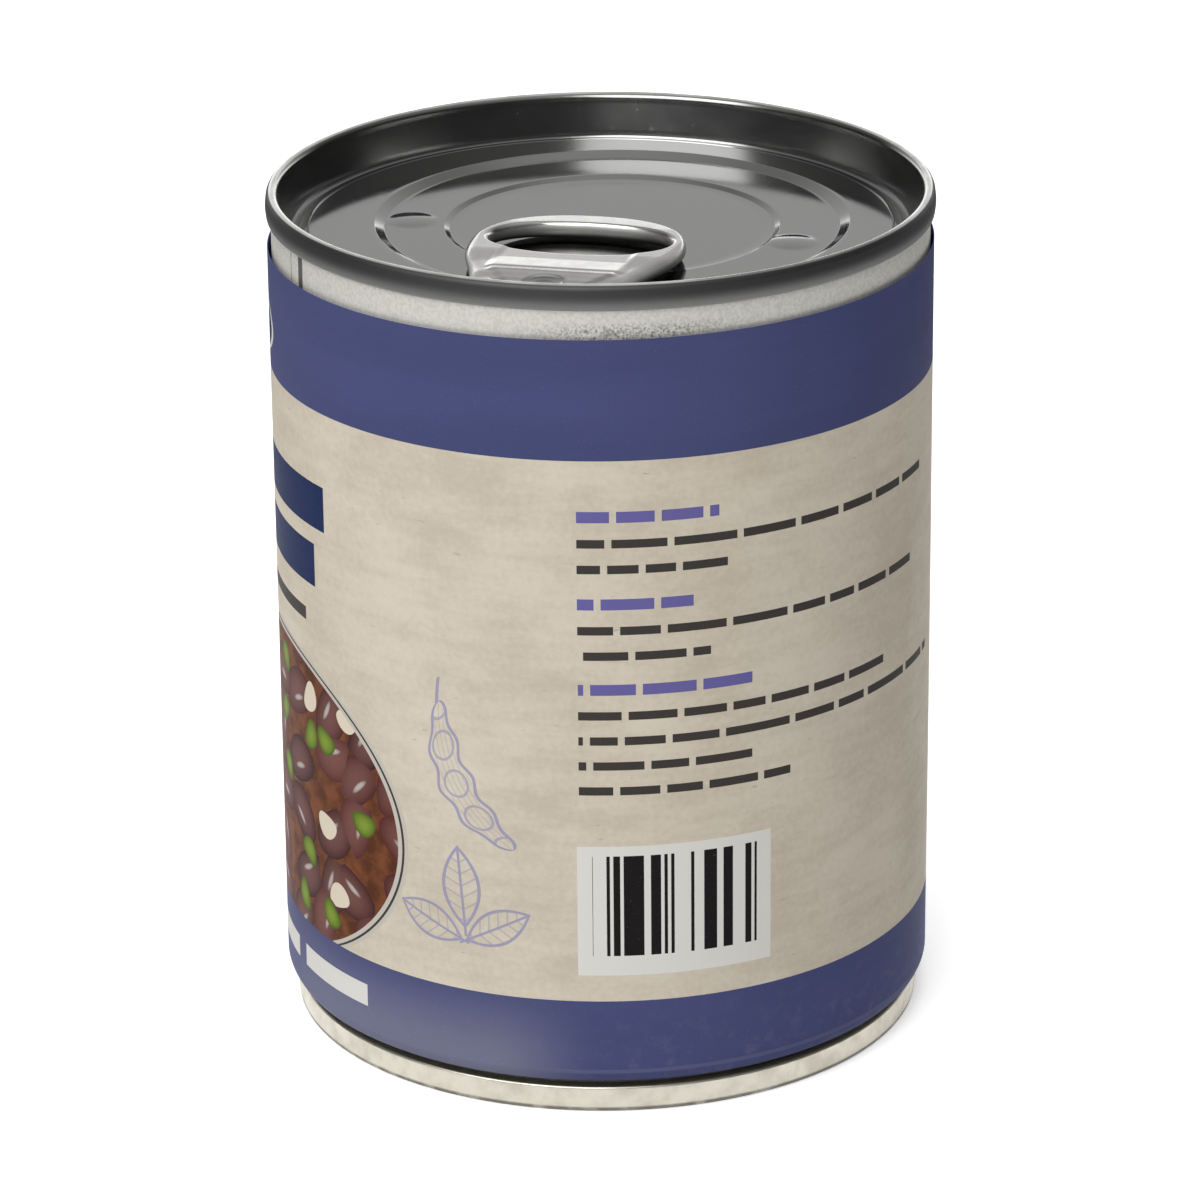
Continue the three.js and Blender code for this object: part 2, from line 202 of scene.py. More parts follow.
class LabelSettings(bpy.types.PropertyGroup):
    """Sizes and colours of the paper label."""

    radius: length("Radius", "Largest radius of the paper", reach("paper_label"))
    top: length("Top", "Height of the upper edge", LABEL_HIGH)
    low: length("Low", "Height of the lower edge", LABEL_LOW - 0.7 * MM)
    crease: length("Crease", "Height of the crease above the tucked edge", 5.6 * MM)
    tuck: length("Tuck", "How far the lower edge is tucked in", 0.6 * MM)
    thick: length("Thickness", "Thickness of the paper", 0.1 * MM)
    overlap: length("Overlap", "Width of the glued overlap at the back", 8.0 * MM)
    flap_lift: length("Flap lift", "How far the outer flap stands off", 0.14 * MM)
    sway: length("Sway", "How far the paper bellies in", 0.05 * MM)
    lean: length("Lean", "How much lower the upper edge lies at the left", 0.55 * MM)
    band_low: length("Lower band", "Upper edge of the lower colour band", 14.4 * MM)
    band_high: length("Upper band", "Lower edge of the upper colour band", 79.0 * MM)
    parchment: tint("Parchment", "Light tone of the parchment field", 216, 207, 190)
    parchment_dark: tint("Parchment shade", "Dark tone of the parchment field", 198, 187, 169)
    fibre: tint("Fibre", "Colour of the fibres in the parchment", 150, 128, 98)
    violet: tint("Violet band", "Colour of the bands", 76, 81, 124)
    violet_dark: tint("Violet shade", "Dark tone of the bands", 71, 76, 117)
    heading: tint("Heading", "Colour of the headings", 106, 101, 160)
    stripe: tint("Stripe", "Colour of the stripes", 30, 28, 28)
    rim: tint("Rim", "Colour of the medallion's rim", 196, 190, 180)
    sauce: tint("Sauce", "Light tone of the sauce", 122, 74, 48)
    sauce_dark: tint("Sauce shade", "Dark tone of the sauce", 84, 48, 32)
    bean: tint("Bean", "Colour of the dark beans", 52, 28, 32)
    bean_red: tint("Red bean", "Colour of the red beans", 96, 50, 46)
    bean_lit: tint("Lit bean", "Colour of the beans' lit sides", 156, 112, 104)
    herb: tint("Herb", "Light tone of the herbs", 128, 150, 58)
    herb_dark: tint("Herb shade", "Dark tone of the herbs", 70, 92, 30)
    cream: tint("Cream", "Colour of the pale bits", 222, 210, 190)
    navy: tint("Navy", "Colour of the heavy bars", 30, 44, 84)
    lilac: tint("Lilac", "Colour of the line drawings", 146, 143, 178)
    print_grey: tint("Print grey", "Colour of the fine rows", 66, 62, 60)
    bare: tint("Bare paper", "Colour of unprinted paper", 222, 220, 215)


class StageSettings(bpy.types.PropertyGroup):
    """Camera and light of the studio."""

    camera_back: length("Camera distance", "Distance of the camera from the axis", 614.4 * MM)
    camera_high: length("Camera height", "Height of the camera", 285.7 * MM)
    camera_pitch: bearing("Camera pitch", "How far the camera looks down", 21.134)
    camera_yaw: bearing("Camera yaw", "How far the camera turns to the side", 0.044)
    camera_roll: bearing("Camera roll", "How far the camera is tilted", -0.522)
    lens: FloatProperty(name="Lens", description="Focal length in millimetres", default=169.25)
    key_power: FloatProperty(name="Key light", description="Power of the front softbox", default=34.0)
    top_power: FloatProperty(name="Top light", description="Power of the overhead softbox", default=12.0)


class FoodCanSettings(bpy.types.PropertyGroup):
    """All settings of the can."""

    body: PointerProperty(name="Body", description="Tinplate body", type=BodySettings)
    lid: PointerProperty(name="Lid", description="Ring-pull lid", type=LidSettings)
    tab: PointerProperty(name="Tab", description="Ring-pull tab", type=TabSettings)
    base: PointerProperty(name="Base", description="Bottom end", type=BaseSettings)
    label: PointerProperty(name="Label", description="Paper label", type=LabelSettings)
    stage: PointerProperty(name="Stage", description="Camera and light", type=StageSettings)


# Points of sections
def smooth(value):
    """An S-shaped rise from 0 to 1."""
    held = min(max(value, 0.0), 1.0)
    return held * held * (3 - 2 * held)


def straight(start, end, steps):
    """Evenly spaced points from start to end, without the last one."""
    return [
        (start[0] + (end[0] - start[0]) * i / steps, start[1] + (end[1] - start[1]) * i / steps)
        for i in range(steps)
    ]


def eased(start, end, steps):
    """An S-shaped run from start to end, without the last point."""
    return [
        (start[0] + (end[0] - start[0]) * i / steps, start[1] + (end[1] - start[1]) * smooth(i / steps))
        for i in range(steps)
    ]


def sloped(start, end, steps, soft=0.08):
    """A straight slope with soft ends from start to end, without the last point."""
    points = []
    for i in range(steps):
        t = i / steps
        near_end = min(t, 1 - t)
        climbed = near_end * near_end / (2 * soft) if near_end < soft else near_end - soft / 2
        share = climbed / (1 - soft)
        share = share if t < 0.5 else 1 - share
        points.append((start[0] + (end[0] - start[0]) * t, start[1] + (end[1] - start[1]) * share))
    return points


def oval(middle, half_width, half_tall, start, end, steps):
    """Points of part of an oval, between two angles in degrees."""
    points = []
    for i in range(steps + 1):
        angle = math.radians(start + (end - start) * i / steps)
        points.append((middle[0] + half_width * math.cos(angle), middle[1] + half_tall * math.sin(angle)))
    return points


def bowed(start, end, bulge, steps):
    """A nearly straight run whose radius bulges in the middle, without the last point."""
    run = straight(start, end, steps)
    swell = [bulge * math.sin(math.pi * i / steps) for i in range(len(run))]
    return [(radius + out, height) for (radius, height), out in zip(run, swell)]


def ridge(offset, middle, half, tall):
    """Height of a rounded ridge at a place on a run across it."""
    return tall * math.exp(-(((offset - middle) / half) ** 2))


def bezier(a, b, c, d, t):
    """Point of a cubic curve."""
    s = 1 - t
    weights = (s * s * s, 3 * s * s * t, 3 * s * t * t, t * t * t)
    return tuple(sum(w * p[axis] for w, p in zip(weights, (a, b, c, d))) for axis in (0, 1))


# Modelling steps
def close_up():
    """Merges doubled points and turns all faces outwards."""
    bpy.ops.mesh.select_all(action="SELECT")
    bpy.ops.mesh.remove_doubles(threshold=DOUBLES)
    bpy.ops.mesh.normals_make_consistent(inside=False)


def name_piece(name):
    """Names the primitive that was just added, and its mesh."""
    piece = bpy.context.object
    piece.name = name
    piece.data.name = name
    return piece


def pick(piece):
    """Selects one piece alone and makes it active."""
    bpy.ops.object.select_all(action="DESELECT")
    piece.select_set(True)
    bpy.context.view_layer.objects.active = piece


def first_point(name, point):
    """A new piece of one vertex, left in edit mode."""
    bpy.ops.object.select_all(action="DESELECT")
    bpy.ops.mesh.primitive_plane_add(size=MM)
    piece = name_piece(name)
    bpy.ops.object.mode_set(mode="EDIT")
    bpy.ops.mesh.select_mode(type="VERT")
    bpy.ops.mesh.select_all(action="SELECT")
    bpy.ops.mesh.merge(type="CENTER")
    bpy.ops.transform.translate(value=point)
    return piece


def turned(name, profile, steps, middle=(0.0, 0.0)):
    """A new piece spun from a profile of radius and height about an upright axis."""
    piece = first_point(name, (profile[0][0], 0.0, profile[0][1]))
    for before, after in zip(profile, profile[1:]):
        stride = (after[0] - before[0], 0.0, after[1] - before[1])
        bpy.ops.mesh.extrude_vertices_move(TRANSFORM_OT_translate={"value": stride})
    bpy.ops.object.mode_set(mode="OBJECT")
    lathe = piece.modifiers.new("lathe", "SCREW")
    lathe.steps = steps
    lathe.render_steps = steps
    lathe.use_merge_vertices = True
    lathe.merge_threshold = DOUBLES
    bpy.ops.object.modifier_apply(modifier=lathe.name)
    bpy.ops.object.mode_set(mode="EDIT")
    close_up()
    bpy.ops.transform.translate(value=(*middle, 0.0))
    bpy.ops.object.mode_set(mode="OBJECT")
    return piece


def placed_grid(name, columns, rows, place):
    """A new piece from a grid whose points are set one by one by place(column, row)."""
    bpy.ops.object.select_all(action="DESELECT")
    bpy.ops.mesh.primitive_grid_add(x_subdivisions=columns, y_subdivisions=rows, size=2.0)
    piece = name_piece(name)
    for vertex in piece.data.vertices:
        column = round((vertex.co.x + 1) / 2 * columns)
        row = round((vertex.co.y + 1) / 2 * rows)
        vertex.co = place(column, row)
    bpy.ops.object.mode_set(mode="EDIT")
    close_up()
    bpy.ops.object.mode_set(mode="OBJECT")
    return piece


def choose(piece, wanted):
    """Selects only the vertices whose place passes a test, and goes into edit mode."""
    pick(piece)
    bpy.ops.object.mode_set(mode="EDIT")
    bpy.ops.mesh.select_mode(type="VERT")
    bpy.ops.mesh.select_all(action="DESELECT")
    bpy.ops.object.mode_set(mode="OBJECT")
    for vertex in piece.data.vertices:
        vertex.select = wanted(vertex.co)
    bpy.ops.object.mode_set(mode="EDIT")


def raise_dome(piece, middle, reach_of_dome, tall):
    """Raises a low dome in a sheet round the vertex nearest to a place."""
    nearest = min((vertex.co for vertex in piece.data.vertices), key=lambda place: (place - middle).length)
    target = nearest.copy()
    choose(piece, lambda place: (place - target).length < 5 * DOUBLES)
    bpy.ops.transform.translate(
        value=(0.0, 0.0, tall),
        use_proportional_edit=True,
        use_proportional_connected=True,
        proportional_edit_falloff="INVERSE_SQUARE",
        proportional_size=reach_of_dome,
    )
    bpy.ops.object.mode_set(mode="OBJECT")


def finish_piece(piece, material, node=None, angle=40.0):
    """Smooths a piece, gives it its finish and fixes it to the can."""
    pick(piece)
    bpy.ops.object.shade_smooth_by_angle(angle=math.radians(angle))
    piece.data.materials.clear()
    piece.data.materials.append(material)
    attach(piece, "root")
    if node:
        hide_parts(node)


# Shader nodes
class Nodes:
    """Adds nodes to one tree and joins them. An input is a socket, a number or a colour."""

    def __init__(self, tree):
        self.tree = tree

    def feed(self, socket, value):
        if isinstance(value, bpy.types.NodeSocket):
            self.tree.links.new(value, socket)
        else:
            socket.default_value = value

    def add(self, kind, inputs=None, **settings):
        node = self.tree.nodes.new(kind)
        for name, value in settings.items():
            setattr(node, name, value)
        for name, value in (inputs or {}).items():
            self.feed(node.inputs[name], value)
        return node

    def math(self, operation, *values, clamp=False):
        node = self.add("ShaderNodeMath", operation=operation, use_clamp=clamp)
        for socket, value in zip(node.inputs, values):
            self.feed(socket, value)
        return node.outputs[0]

    def plus(self, *values):
        return self.fold("ADD", values)

    def times(self, *values):
        return self.fold("MULTIPLY", values)

    def either(self, *values):
        return self.fold("MAXIMUM", values)

    def fold(self, operation, values):
        result = values[0]
        for value in values[1:]:
            result = self.math(operation, result, value)
        return result

    def less(self, first, second):
        return self.math("SUBTRACT", first, second)

    def near(self, value, middle, half):
        return self.math("COMPARE", value, middle, half)

    def above(self, value, limit):
        return self.math("GREATER_THAN", value, limit)

    def below(self, value, limit):
        return self.math("LESS_THAN", value, limit)

    def spread(self, value, low, high, to_low=0.0, to_high=1.0, kind="SMOOTHSTEP"):
        node = self.add("ShaderNodeMapRange", interpolation_type=kind)
        for name, given in (("From Min", low), ("From Max", high), ("To Min", to_low), ("To Max", to_high)):
            self.feed(node.inputs[name], given)
        self.feed(node.inputs["Value"], value)
        return node.outputs["Result"]

    def blend(self, factor, first, second):
        node = self.add("ShaderNodeMix", data_type="RGBA")
        self.feed(node.inputs[0], factor)
        self.feed(node.inputs[6], first)
        self.feed(node.inputs[7], second)
        return node.outputs[2]

    def noise(self, vector, scale, detail=3.0, roughness=0.55):
        inputs = {"Vector": vector, "Scale": scale, "Detail": detail, "Roughness": roughness}
        return self.add("ShaderNodeTexNoise", inputs).outputs[0]

    def stretched(self, vector, scale):
        return self.add("ShaderNodeMapping", {"Vector": vector, "Scale": scale}).outputs[0]

    def vector(self, x, y, z=0.0):
        return self.add("ShaderNodeCombineXYZ", {"X": x, "Y": y, "Z": z}).outputs[0]

    def parts(self, vector):
        return self.add("ShaderNodeSeparateXYZ", {"Vector": vector}).outputs

    def place(self):
        return self.add("ShaderNodeTexCoord").outputs["Object"]

    def ramp(self, value, stops):
        node = self.add("ShaderNodeValToRGB", {"Fac": value})
        elements = node.color_ramp.elements
        elements[0].position = stops[0][0]
        elements[1].position = stops[-1][0]
        for position, _ in stops[1:-1]:
            elements.new(position)
        for element, (_, grey) in zip(elements, stops):
            element.color = (grey, grey, grey, 1.0)
        return node.outputs["Color"]

    def bump(self, height, strength, distance):
        inputs = {"Height": height, "Strength": strength, "Distance": distance}
        return self.add("ShaderNodeBump", inputs).outputs[0]

    def group(self, tree, inputs):
        node = self.tree.nodes.new("ShaderNodeGroup")
        node.node_tree = tree
        for name, value in inputs.items():
            self.feed(node.inputs[name], value)
        return node.outputs


def new_group(name, inputs, outputs):
    """A shader node group with named sockets, its nodes helper, and its two ends."""
    tree = bpy.data.node_groups.new(name, "ShaderNodeTree")
    for label, kind in inputs:
        tree.interface.new_socket(label, in_out="INPUT", socket_type=kind)
    for label, kind in outputs:
        tree.interface.new_socket(label, in_out="OUTPUT", socket_type=kind)
    nodes = Nodes(tree)
    entry = nodes.add("NodeGroupInput").outputs
    leave = nodes.add("NodeGroupOutput").inputs
    return tree, nodes, entry, leave


def shared_group(name, make):
    """A node group by name, made when it is first asked for."""
    return bpy.data.node_groups.get(name) or make(name)


def make_tin_surface(name):
    """Mottle, fine scratches and grain of rolled tinplate."""
    value = "NodeSocketFloat"
    tree, nodes, entry, leave = new_group(
        name,
        [("Vector", "NodeSocketVector"), ("Mottle Size", value), ("Scratch Size", value)],
        [("Mottle", value), ("Scratches", value), ("Grain", value)],
    )
    mottle = nodes.noise(entry["Vector"], nodes.math("DIVIDE", 1.0, entry["Mottle Size"]), 4.0, 0.6)
    nodes.feed(leave["Mottle"], nodes.spread(mottle, 0.35, 0.68))
    fine = nodes.math("DIVIDE", 1.0, entry["Scratch Size"])
    crossed = []
    for spin in (0.35, 1.9, 2.7):
        turned_vector = nodes.add("ShaderNodeVectorRotate", {"Vector": entry["Vector"], "Angle": spin})
        drawn_out = nodes.stretched(turned_vector.outputs[0], (1.0, 0.03, 0.4))
        crossed.append(nodes.spread(nodes.noise(drawn_out, fine, 1.0), 0.70, 0.78))
    nodes.feed(leave["Scratches"], nodes.either(*crossed))
    nodes.feed(leave["Grain"], nodes.noise(entry["Vector"], 9000.0, 2.0))
    return tree


def make_scattered_ovals(name):
    """Ovals strewn over a flat place, each turned its own way."""
    value = "NodeSocketFloat"
    tree, nodes, entry, leave = new_group(
        name,
        [("Vector", "NodeSocketVector"), ("Spacing", value), ("Half Length", value), ("Half Width", value)],
        [("Mask", value), ("Crown", value), ("Glint", value), ("Pick", value)],
    )
    cells = nodes.add("ShaderNodeTexVoronoi", voronoi_dimensions="2D")
    nodes.feed(cells.inputs["Vector"], entry["Vector"])
    nodes.feed(cells.inputs["Scale"], nodes.math("DIVIDE", 1.0, entry["Spacing"]))
    nodes.feed(cells.inputs["Randomness"], 0.7)
    lots = nodes.parts(cells.outputs["Color"])
    offset = nodes.add("ShaderNodeVectorMath", operation="SUBTRACT")
    nodes.feed(offset.inputs[0], entry["Vector"])
    nodes.feed(offset.inputs[1], cells.outputs["Position"])
    angle = nodes.times(lots[0], TURN)
    turned_offset = nodes.add("ShaderNodeVectorRotate", {"Vector": offset.outputs[0], "Angle": angle})
    local = nodes.parts(turned_offset.outputs[0])
    along = nodes.math("DIVIDE", local[0], entry["Half Length"])
    across = nodes.math("DIVIDE", nodes.less(local[1], nodes.times(along, along, 0.5)), entry["Half Width"])
    far = nodes.plus(nodes.times(along, along), nodes.times(across, across))
    nodes.feed(leave["Mask"], nodes.below(far, 1.0))
    nodes.feed(leave["Crown"], nodes.math("SUBTRACT", 1.0, far, clamp=True))
    glint_across = nodes.plus(across, -0.3)
    glint = nodes.plus(nodes.times(along, along, 6.0), nodes.times(glint_across, glint_across, 40.0))
    nodes.feed(leave["Glint"], nodes.spread(glint, 0.0, 1.0, 1.0, 0.0))
    nodes.feed(leave["Pick"], lots[1])
    return tree


def new_material(name):
    """A material with its Principled shader and a nodes helper."""
    material = bpy.data.materials.new(name)
    material.use_nodes = True
    nodes = Nodes(material.node_tree)
    return material, nodes, material.node_tree.nodes["Principled BSDF"].inputs


def tin_finish(name, tones, polish, mottle_size, scratch_size, relief):
    """A tinplate finish: mottled colour and gloss, fine scratches and grain. Gives the parts for more."""
    material, nodes, shader = new_material(name)
    place = nodes.place()
    surface = nodes.group(
        shared_group("tin_surface", make_tin_surface),
        {"Vector": place, "Mottle Size": mottle_size, "Scratch Size": scratch_size},
    )
    colour = nodes.blend(surface["Mottle"], *tones)
    rough = nodes.plus(
        nodes.spread(surface["Mottle"], 0.0, 1.0, *polish, "LINEAR"),
        nodes.times(surface["Scratches"], 0.06),
    )
    scratches = nodes.times(surface["Scratches"], -0.6)
    height = nodes.plus(surface["Grain"], scratches, nodes.times(surface["Mottle"], 0.5))
    shader["Metallic"].default_value = 1.0
    nodes.feed(shader["Normal"], nodes.bump(height, 1.0, relief))
    return material, nodes, shader, place, colour, rough


def front_bearing(nodes, place):
    """Angle from the front towards the right, radius and height of a point."""
    x, y, z = nodes.parts(place)
    angle = nodes.math("ARCTAN2", x, nodes.times(y, -1.0))
    radius = nodes.math("SQRT", nodes.plus(nodes.times(x, x), nodes.times(y, y)))
    return angle, radius, z


def about_bearing(nodes, angle, middle, outer, inner):
    """Soft mask round one bearing: full within the inner angle, none past the outer one, in degrees."""
    aside = nodes.math("ABSOLUTE", nodes.less(angle, math.radians(middle)))
    return nodes.spread(aside, math.radians(outer), math.radians(inner))


def body_finish(body):
    """Bright tinplate with a dark side weld, and painted shade in the recess above the foot."""
    material, nodes, shader, place, colour, rough = tin_finish(
        "body_tinplate",
        (body.bright, body.dull),
        polish=(0.42, 0.52),
        mottle_size=0.45 * MM,
        scratch_size=0.5 * MM,
        relief=0.012 * MM,
    )
    angle, _, height = front_bearing(nodes, place)
    weld_half, line_half, line_apart = math.radians(0.85), math.radians(0.25), math.radians(4.0)
    weld = nodes.near(angle, body.weld_bearing, weld_half)
    side = nodes.near(angle, body.weld_bearing - line_apart, line_half)
    # Painted shade: the tin goes dark towards the neck's recess under the label's lower edge, where shade
    # falls.
    painted_shade = nodes.spread(height, body.neck_high, body.neck_low)
    dark = nodes.plus(nodes.times(weld, 0.92), nodes.times(side, 0.45), nodes.times(painted_shade, 0.9))
    front = about_bearing(nodes, angle, 5.0, 26.0, 4.0)
    low = nodes.spread(height, LABEL_HIGH + 2.0 * MM, LABEL_HIGH + 0.4 * MM)
    specks = nodes.spread(nodes.noise(place, 3400.0, 3.0), 0.38, 0.7)
    dark = nodes.either(dark, nodes.times(front, low, specks, 0.75))
    nodes.feed(shader["Base Color"], nodes.blend(dark, colour, (0.06, 0.06, 0.055, 1.0)))
    nodes.feed(shader["Roughness"], nodes.plus(rough, nodes.times(dark, 0.2)))
    shader["Metallic"].default_value = 0.4
    return material


def lid_finish(lid):
    """Smooth grey lacquered tinplate, rubbed bright along the rim with a painted highlight, and with painted
    reflection shading on the seam's outer face.
    """
    material, nodes, shader, place, colour, rough = tin_finish(
        "lid_tinplate",
        (lid.steel, lid.steel),
        polish=(0.07, 0.1),
        mottle_size=9.0 * MM,
        scratch_size=0.3 * MM,
        relief=0.0008 * MM,
    )
    angle, radius, height = front_bearing(nodes, place)
    crest = nodes.spread(height, lid.top - 0.15 * MM, lid.top - 0.06 * MM)
    patches = nodes.spread(nodes.noise(place, 260.0, 4.0), 0.35, 0.6, 0.7, 1.0)
    whole = about_bearing(nodes, angle, 40.0, 30.0, 14.0)
    crown = lid.seam_radius - lid.seam_thick / 2
    wall = nodes.spread(radius, lid.panel_radius + 0.1 * MM, lid.panel_radius + 0.6 * MM)
    outside = nodes.spread(radius, crown + 0.18 * MM, crown + 0.36 * MM)
    # Rubbed tin along the crest, brightened into a painted highlight and mostly left out on the right, where
    # no highlight falls.
    rubbed_and_highlit = nodes.times(crest, patches, nodes.less(1.0, nodes.times(whole, 0.8)), nodes.less(1.0, outside))
    rolled = nodes.plus(nodes.times(wall, 0.12), nodes.times(outside, 0.34), nodes.times(rubbed_and_highlit, 0.12))
    # Painted reflection shading: the seam's outer face goes from the darker rim tone at the top to the
    # lighter low tone.
    rim = nodes.blend(nodes.spread(height, lid.top - 1.0 * MM, lid.top - 2.9 * MM), lid.rim, lid.rim_low_painted_reflection)
    colour = nodes.blend(outside, colour, rim)
    nodes.feed(shader["Base Color"], nodes.blend(rubbed_and_highlit, colour, lid.worn_and_highlit))
    nodes.feed(shader["Roughness"], nodes.plus(rough, rolled))
    return material


def tab_finish(tab, lid):
    """Bright rolled steel, polished on top and dull below, darkened underneath as painted shade."""
    material, nodes, shader, place, colour, rough = tin_finish(
        "tab_steel",
        (tab.steel, tab.dull),
        polish=(0.14, 0.18),
        mottle_size=3.5 * MM,
        scratch_size=0.3 * MM,
        relief=0.002 * MM,
    )
    _, y, z = nodes.parts(place)
    top = tab.high - lid.rivet_ahead * math.tan(tab.tilt)
    depth = nodes.less(top, nodes.plus(z, nodes.times(y, math.tan(tab.tilt))))
    dull = nodes.spread(depth, 0.2 * MM, 0.55 * MM)
    # Painted shade: the lower part of the tab goes nearly black where it stands over the lid.
    painted_shade = nodes.spread(depth, 0.8 * MM, 1.6 * MM)
    nodes.feed(shader["Base Color"], nodes.blend(painted_shade, colour, (0.04, 0.04, 0.038, 1.0)))
    nodes.feed(shader["Roughness"], nodes.plus(rough, nodes.times(dull, 0.3)))
    return material


def base_finish(base):
    """Warm satin tinplate, scuffed at the foot and darkened there as painted contact shade."""
    material, nodes, shader, place, colour, rough = tin_finish(
        "base_tinplate",
        (base.warm, base.dull),
        polish=(0.32, 0.4),
        mottle_size=3.0 * MM,
        scratch_size=0.5 * MM,
        relief=0.004 * MM,
    )
    height = nodes.parts(place)[2]
    patches = nodes.spread(nodes.noise(place, 420.0), 0.3, 0.5, 0.6, 1.0)
    # Scuffed patches at the foot, darkened also as painted contact shade where the seam meets the floor.
    scuff_and_contact_shade = nodes.times(nodes.spread(height, 0.7 * MM, 0.4 * MM), patches)
    nodes.feed(shader["Base Color"], nodes.blend(nodes.times(scuff_and_contact_shade, 0.8), colour, (0.09, 0.085, 0.075, 1.0)))
    nodes.feed(shader["Roughness"], nodes.plus(rough, nodes.times(scuff_and_contact_shade, 0.15)))
    return material


# Print, in millimetres across from the front and up from the foot
PLAQUE = ((-85.0, 84.0), 33.0, 6.6)
HEAVY_BARS = ((-84.0, -37.0, 64.8, 70.2), (-82.0, -39.4, 57.6, 62.8))
THIN_BAR = (-80.0, -42.0, 52.8, 54.4)
PALE_BARS = ((-60.0, -47.5, 8.5, 11.2), (-45.0, -31.0, 8.5, 11.2))
ROWS_LEFT = -3.0
ROW_PITCH = 3.0
WORD_PITCH = 6.4
HEADINGS = ((72.5, 13.0), (62.3, 10.0), (52.2, 17.0))
UPPER_ROWS = ((69.4, 47.0), (66.4, 14.0), (59.2, 44.0), (56.2, 12.0))
LOWER_ROWS = ((49.1, 38.0), (46.1, 51.0), (43.1, 17.0), (40.1, 22.0))
STRIPE_PANEL = (-3.3, 19.4, 17.6, 33.4)
STRIPE_FIELD = (-1.6, 17.6, 20.0, 32.2)
STRIPES_PER_MM = 2.6
TABLE_FRAME = (66.0, 104.0, 20.0, 73.0)
TABLE_PAPER = (66.6, 103.4, 20.6, 72.4)
TABLE_RULES = (68.0, 102.0, 22.5, 66.0)
TABLE_COLUMNS = ((68.0, 86.0, 22.5, 65.0), (96.0, 102.0, 22.5, 65.0))
TABLE_HEADING = (68.0, 92.0, 67.6, 70.6)
TABLE_PITCH = 3.9
POD = ((-16.5, 40.0), 9.5, 2.5, 118.0)
LEAVES = (
    ((-17.0, 27.0), 5.0, 2.4, 95.0),
    ((-21.0, 22.2), 4.4, 2.1, 158.0),
    ((-12.6, 22.6), 4.4, 2.1, 28.0),
)
MEDALLION = ((-51.5, 30.0), 27.5, 19.5)


class Sheet:
    """A flat sheet to print on."""

    def __init__(self, nodes, across, up):
        self.nodes = nodes
        self.across = across
        self.up = up
        self.flat = nodes.vector(across, up)
        self.colour = None

    def ink(self, mask, colour):
        self.colour = self.nodes.blend(mask, self.colour, colour)

    def block(self, left, right, low, high):
        wide = self.nodes.near(self.across, (left + right) / 2, (right - left) / 2)
        tall = self.nodes.near(self.up, (low + high) / 2, (high - low) / 2)
        return self.nodes.times(wide, tall)

    def blocks(self, places):
        return self.nodes.either(*[self.block(*place) for place in places])

    def about(self, middle, half_long, half_wide, degrees=0.0):
        inputs = {
            "Vector": self.flat,
            "Location": (*middle, 0.0),
            "Rotation": (0.0, 0.0, math.radians(degrees)),
            "Scale": (half_long, half_wide, 1.0),
        }
        return self.nodes.add("ShaderNodeMapping", inputs, vector_type="TEXTURE").outputs[0]

    def oval(self, middle, half_long, half_wide, degrees=0.0):
        measure = self.nodes.add("ShaderNodeVectorMath", operation="LENGTH")
        self.nodes.feed(measure.inputs[0], self.about(middle, half_long, half_wide, degrees))
        return measure.outputs["Value"]


def print_parchment(sheet, label):
    """Aged paper field: soft clouds, faint streaks and a few fibres."""
    nodes = sheet.nodes
    clouds = nodes.noise(sheet.flat, 0.06, 5.0, 0.6)
    streaks = nodes.noise(nodes.stretched(sheet.flat, (0.09, 0.45, 1.0)), 1.0, 5.0, 0.65)
    fine = nodes.noise(sheet.flat, 1.3, 3.0)
    tone = nodes.plus(nodes.times(clouds, 0.5), nodes.times(streaks, 0.3), nodes.times(fine, 0.2))
    sheet.colour = nodes.blend(nodes.spread(tone, 0.36, 0.62), label.parchment_dark, label.parchment)
    fibres = nodes.noise(nodes.stretched(sheet.flat, (0.5, 2.2, 1.0)), 1.0, 1.0)
    sheet.ink(nodes.times(nodes.spread(fibres, 0.74, 0.8), 0.4), label.fibre)


def print_bands(sheet, label):
    """Colour bands along both edges, and a rounded dark plaque on the upper one."""
    nodes = sheet.nodes
    high = nodes.above(sheet.up, label.band_high / MM)
    band = nodes.either(high, nodes.below(sheet.up, label.band_low / MM))
    drift = nodes.noise(nodes.stretched(sheet.flat, (0.02, 0.11, 1.0)), 1.0, 3.0)
    shade = nodes.blend(nodes.spread(drift, 0.3, 0.7), label.violet_dark, label.violet)
    sheet.ink(band, shade)
    plaque = sheet.oval(*PLAQUE)
    sheet.ink(nodes.below(plaque, 1.0), label.bare)
    sheet.ink(nodes.below(plaque, 0.965), label.navy)


def print_bars(sheet, label):
    """Heavy plain bars above the medallion and pale ones in the lower band."""
    sheet.ink(sheet.blocks(HEAVY_BARS), label.navy)
    sheet.ink(sheet.block(*THIN_BAR), label.print_grey)
    sheet.ink(sheet.blocks(PALE_BARS), label.bare)


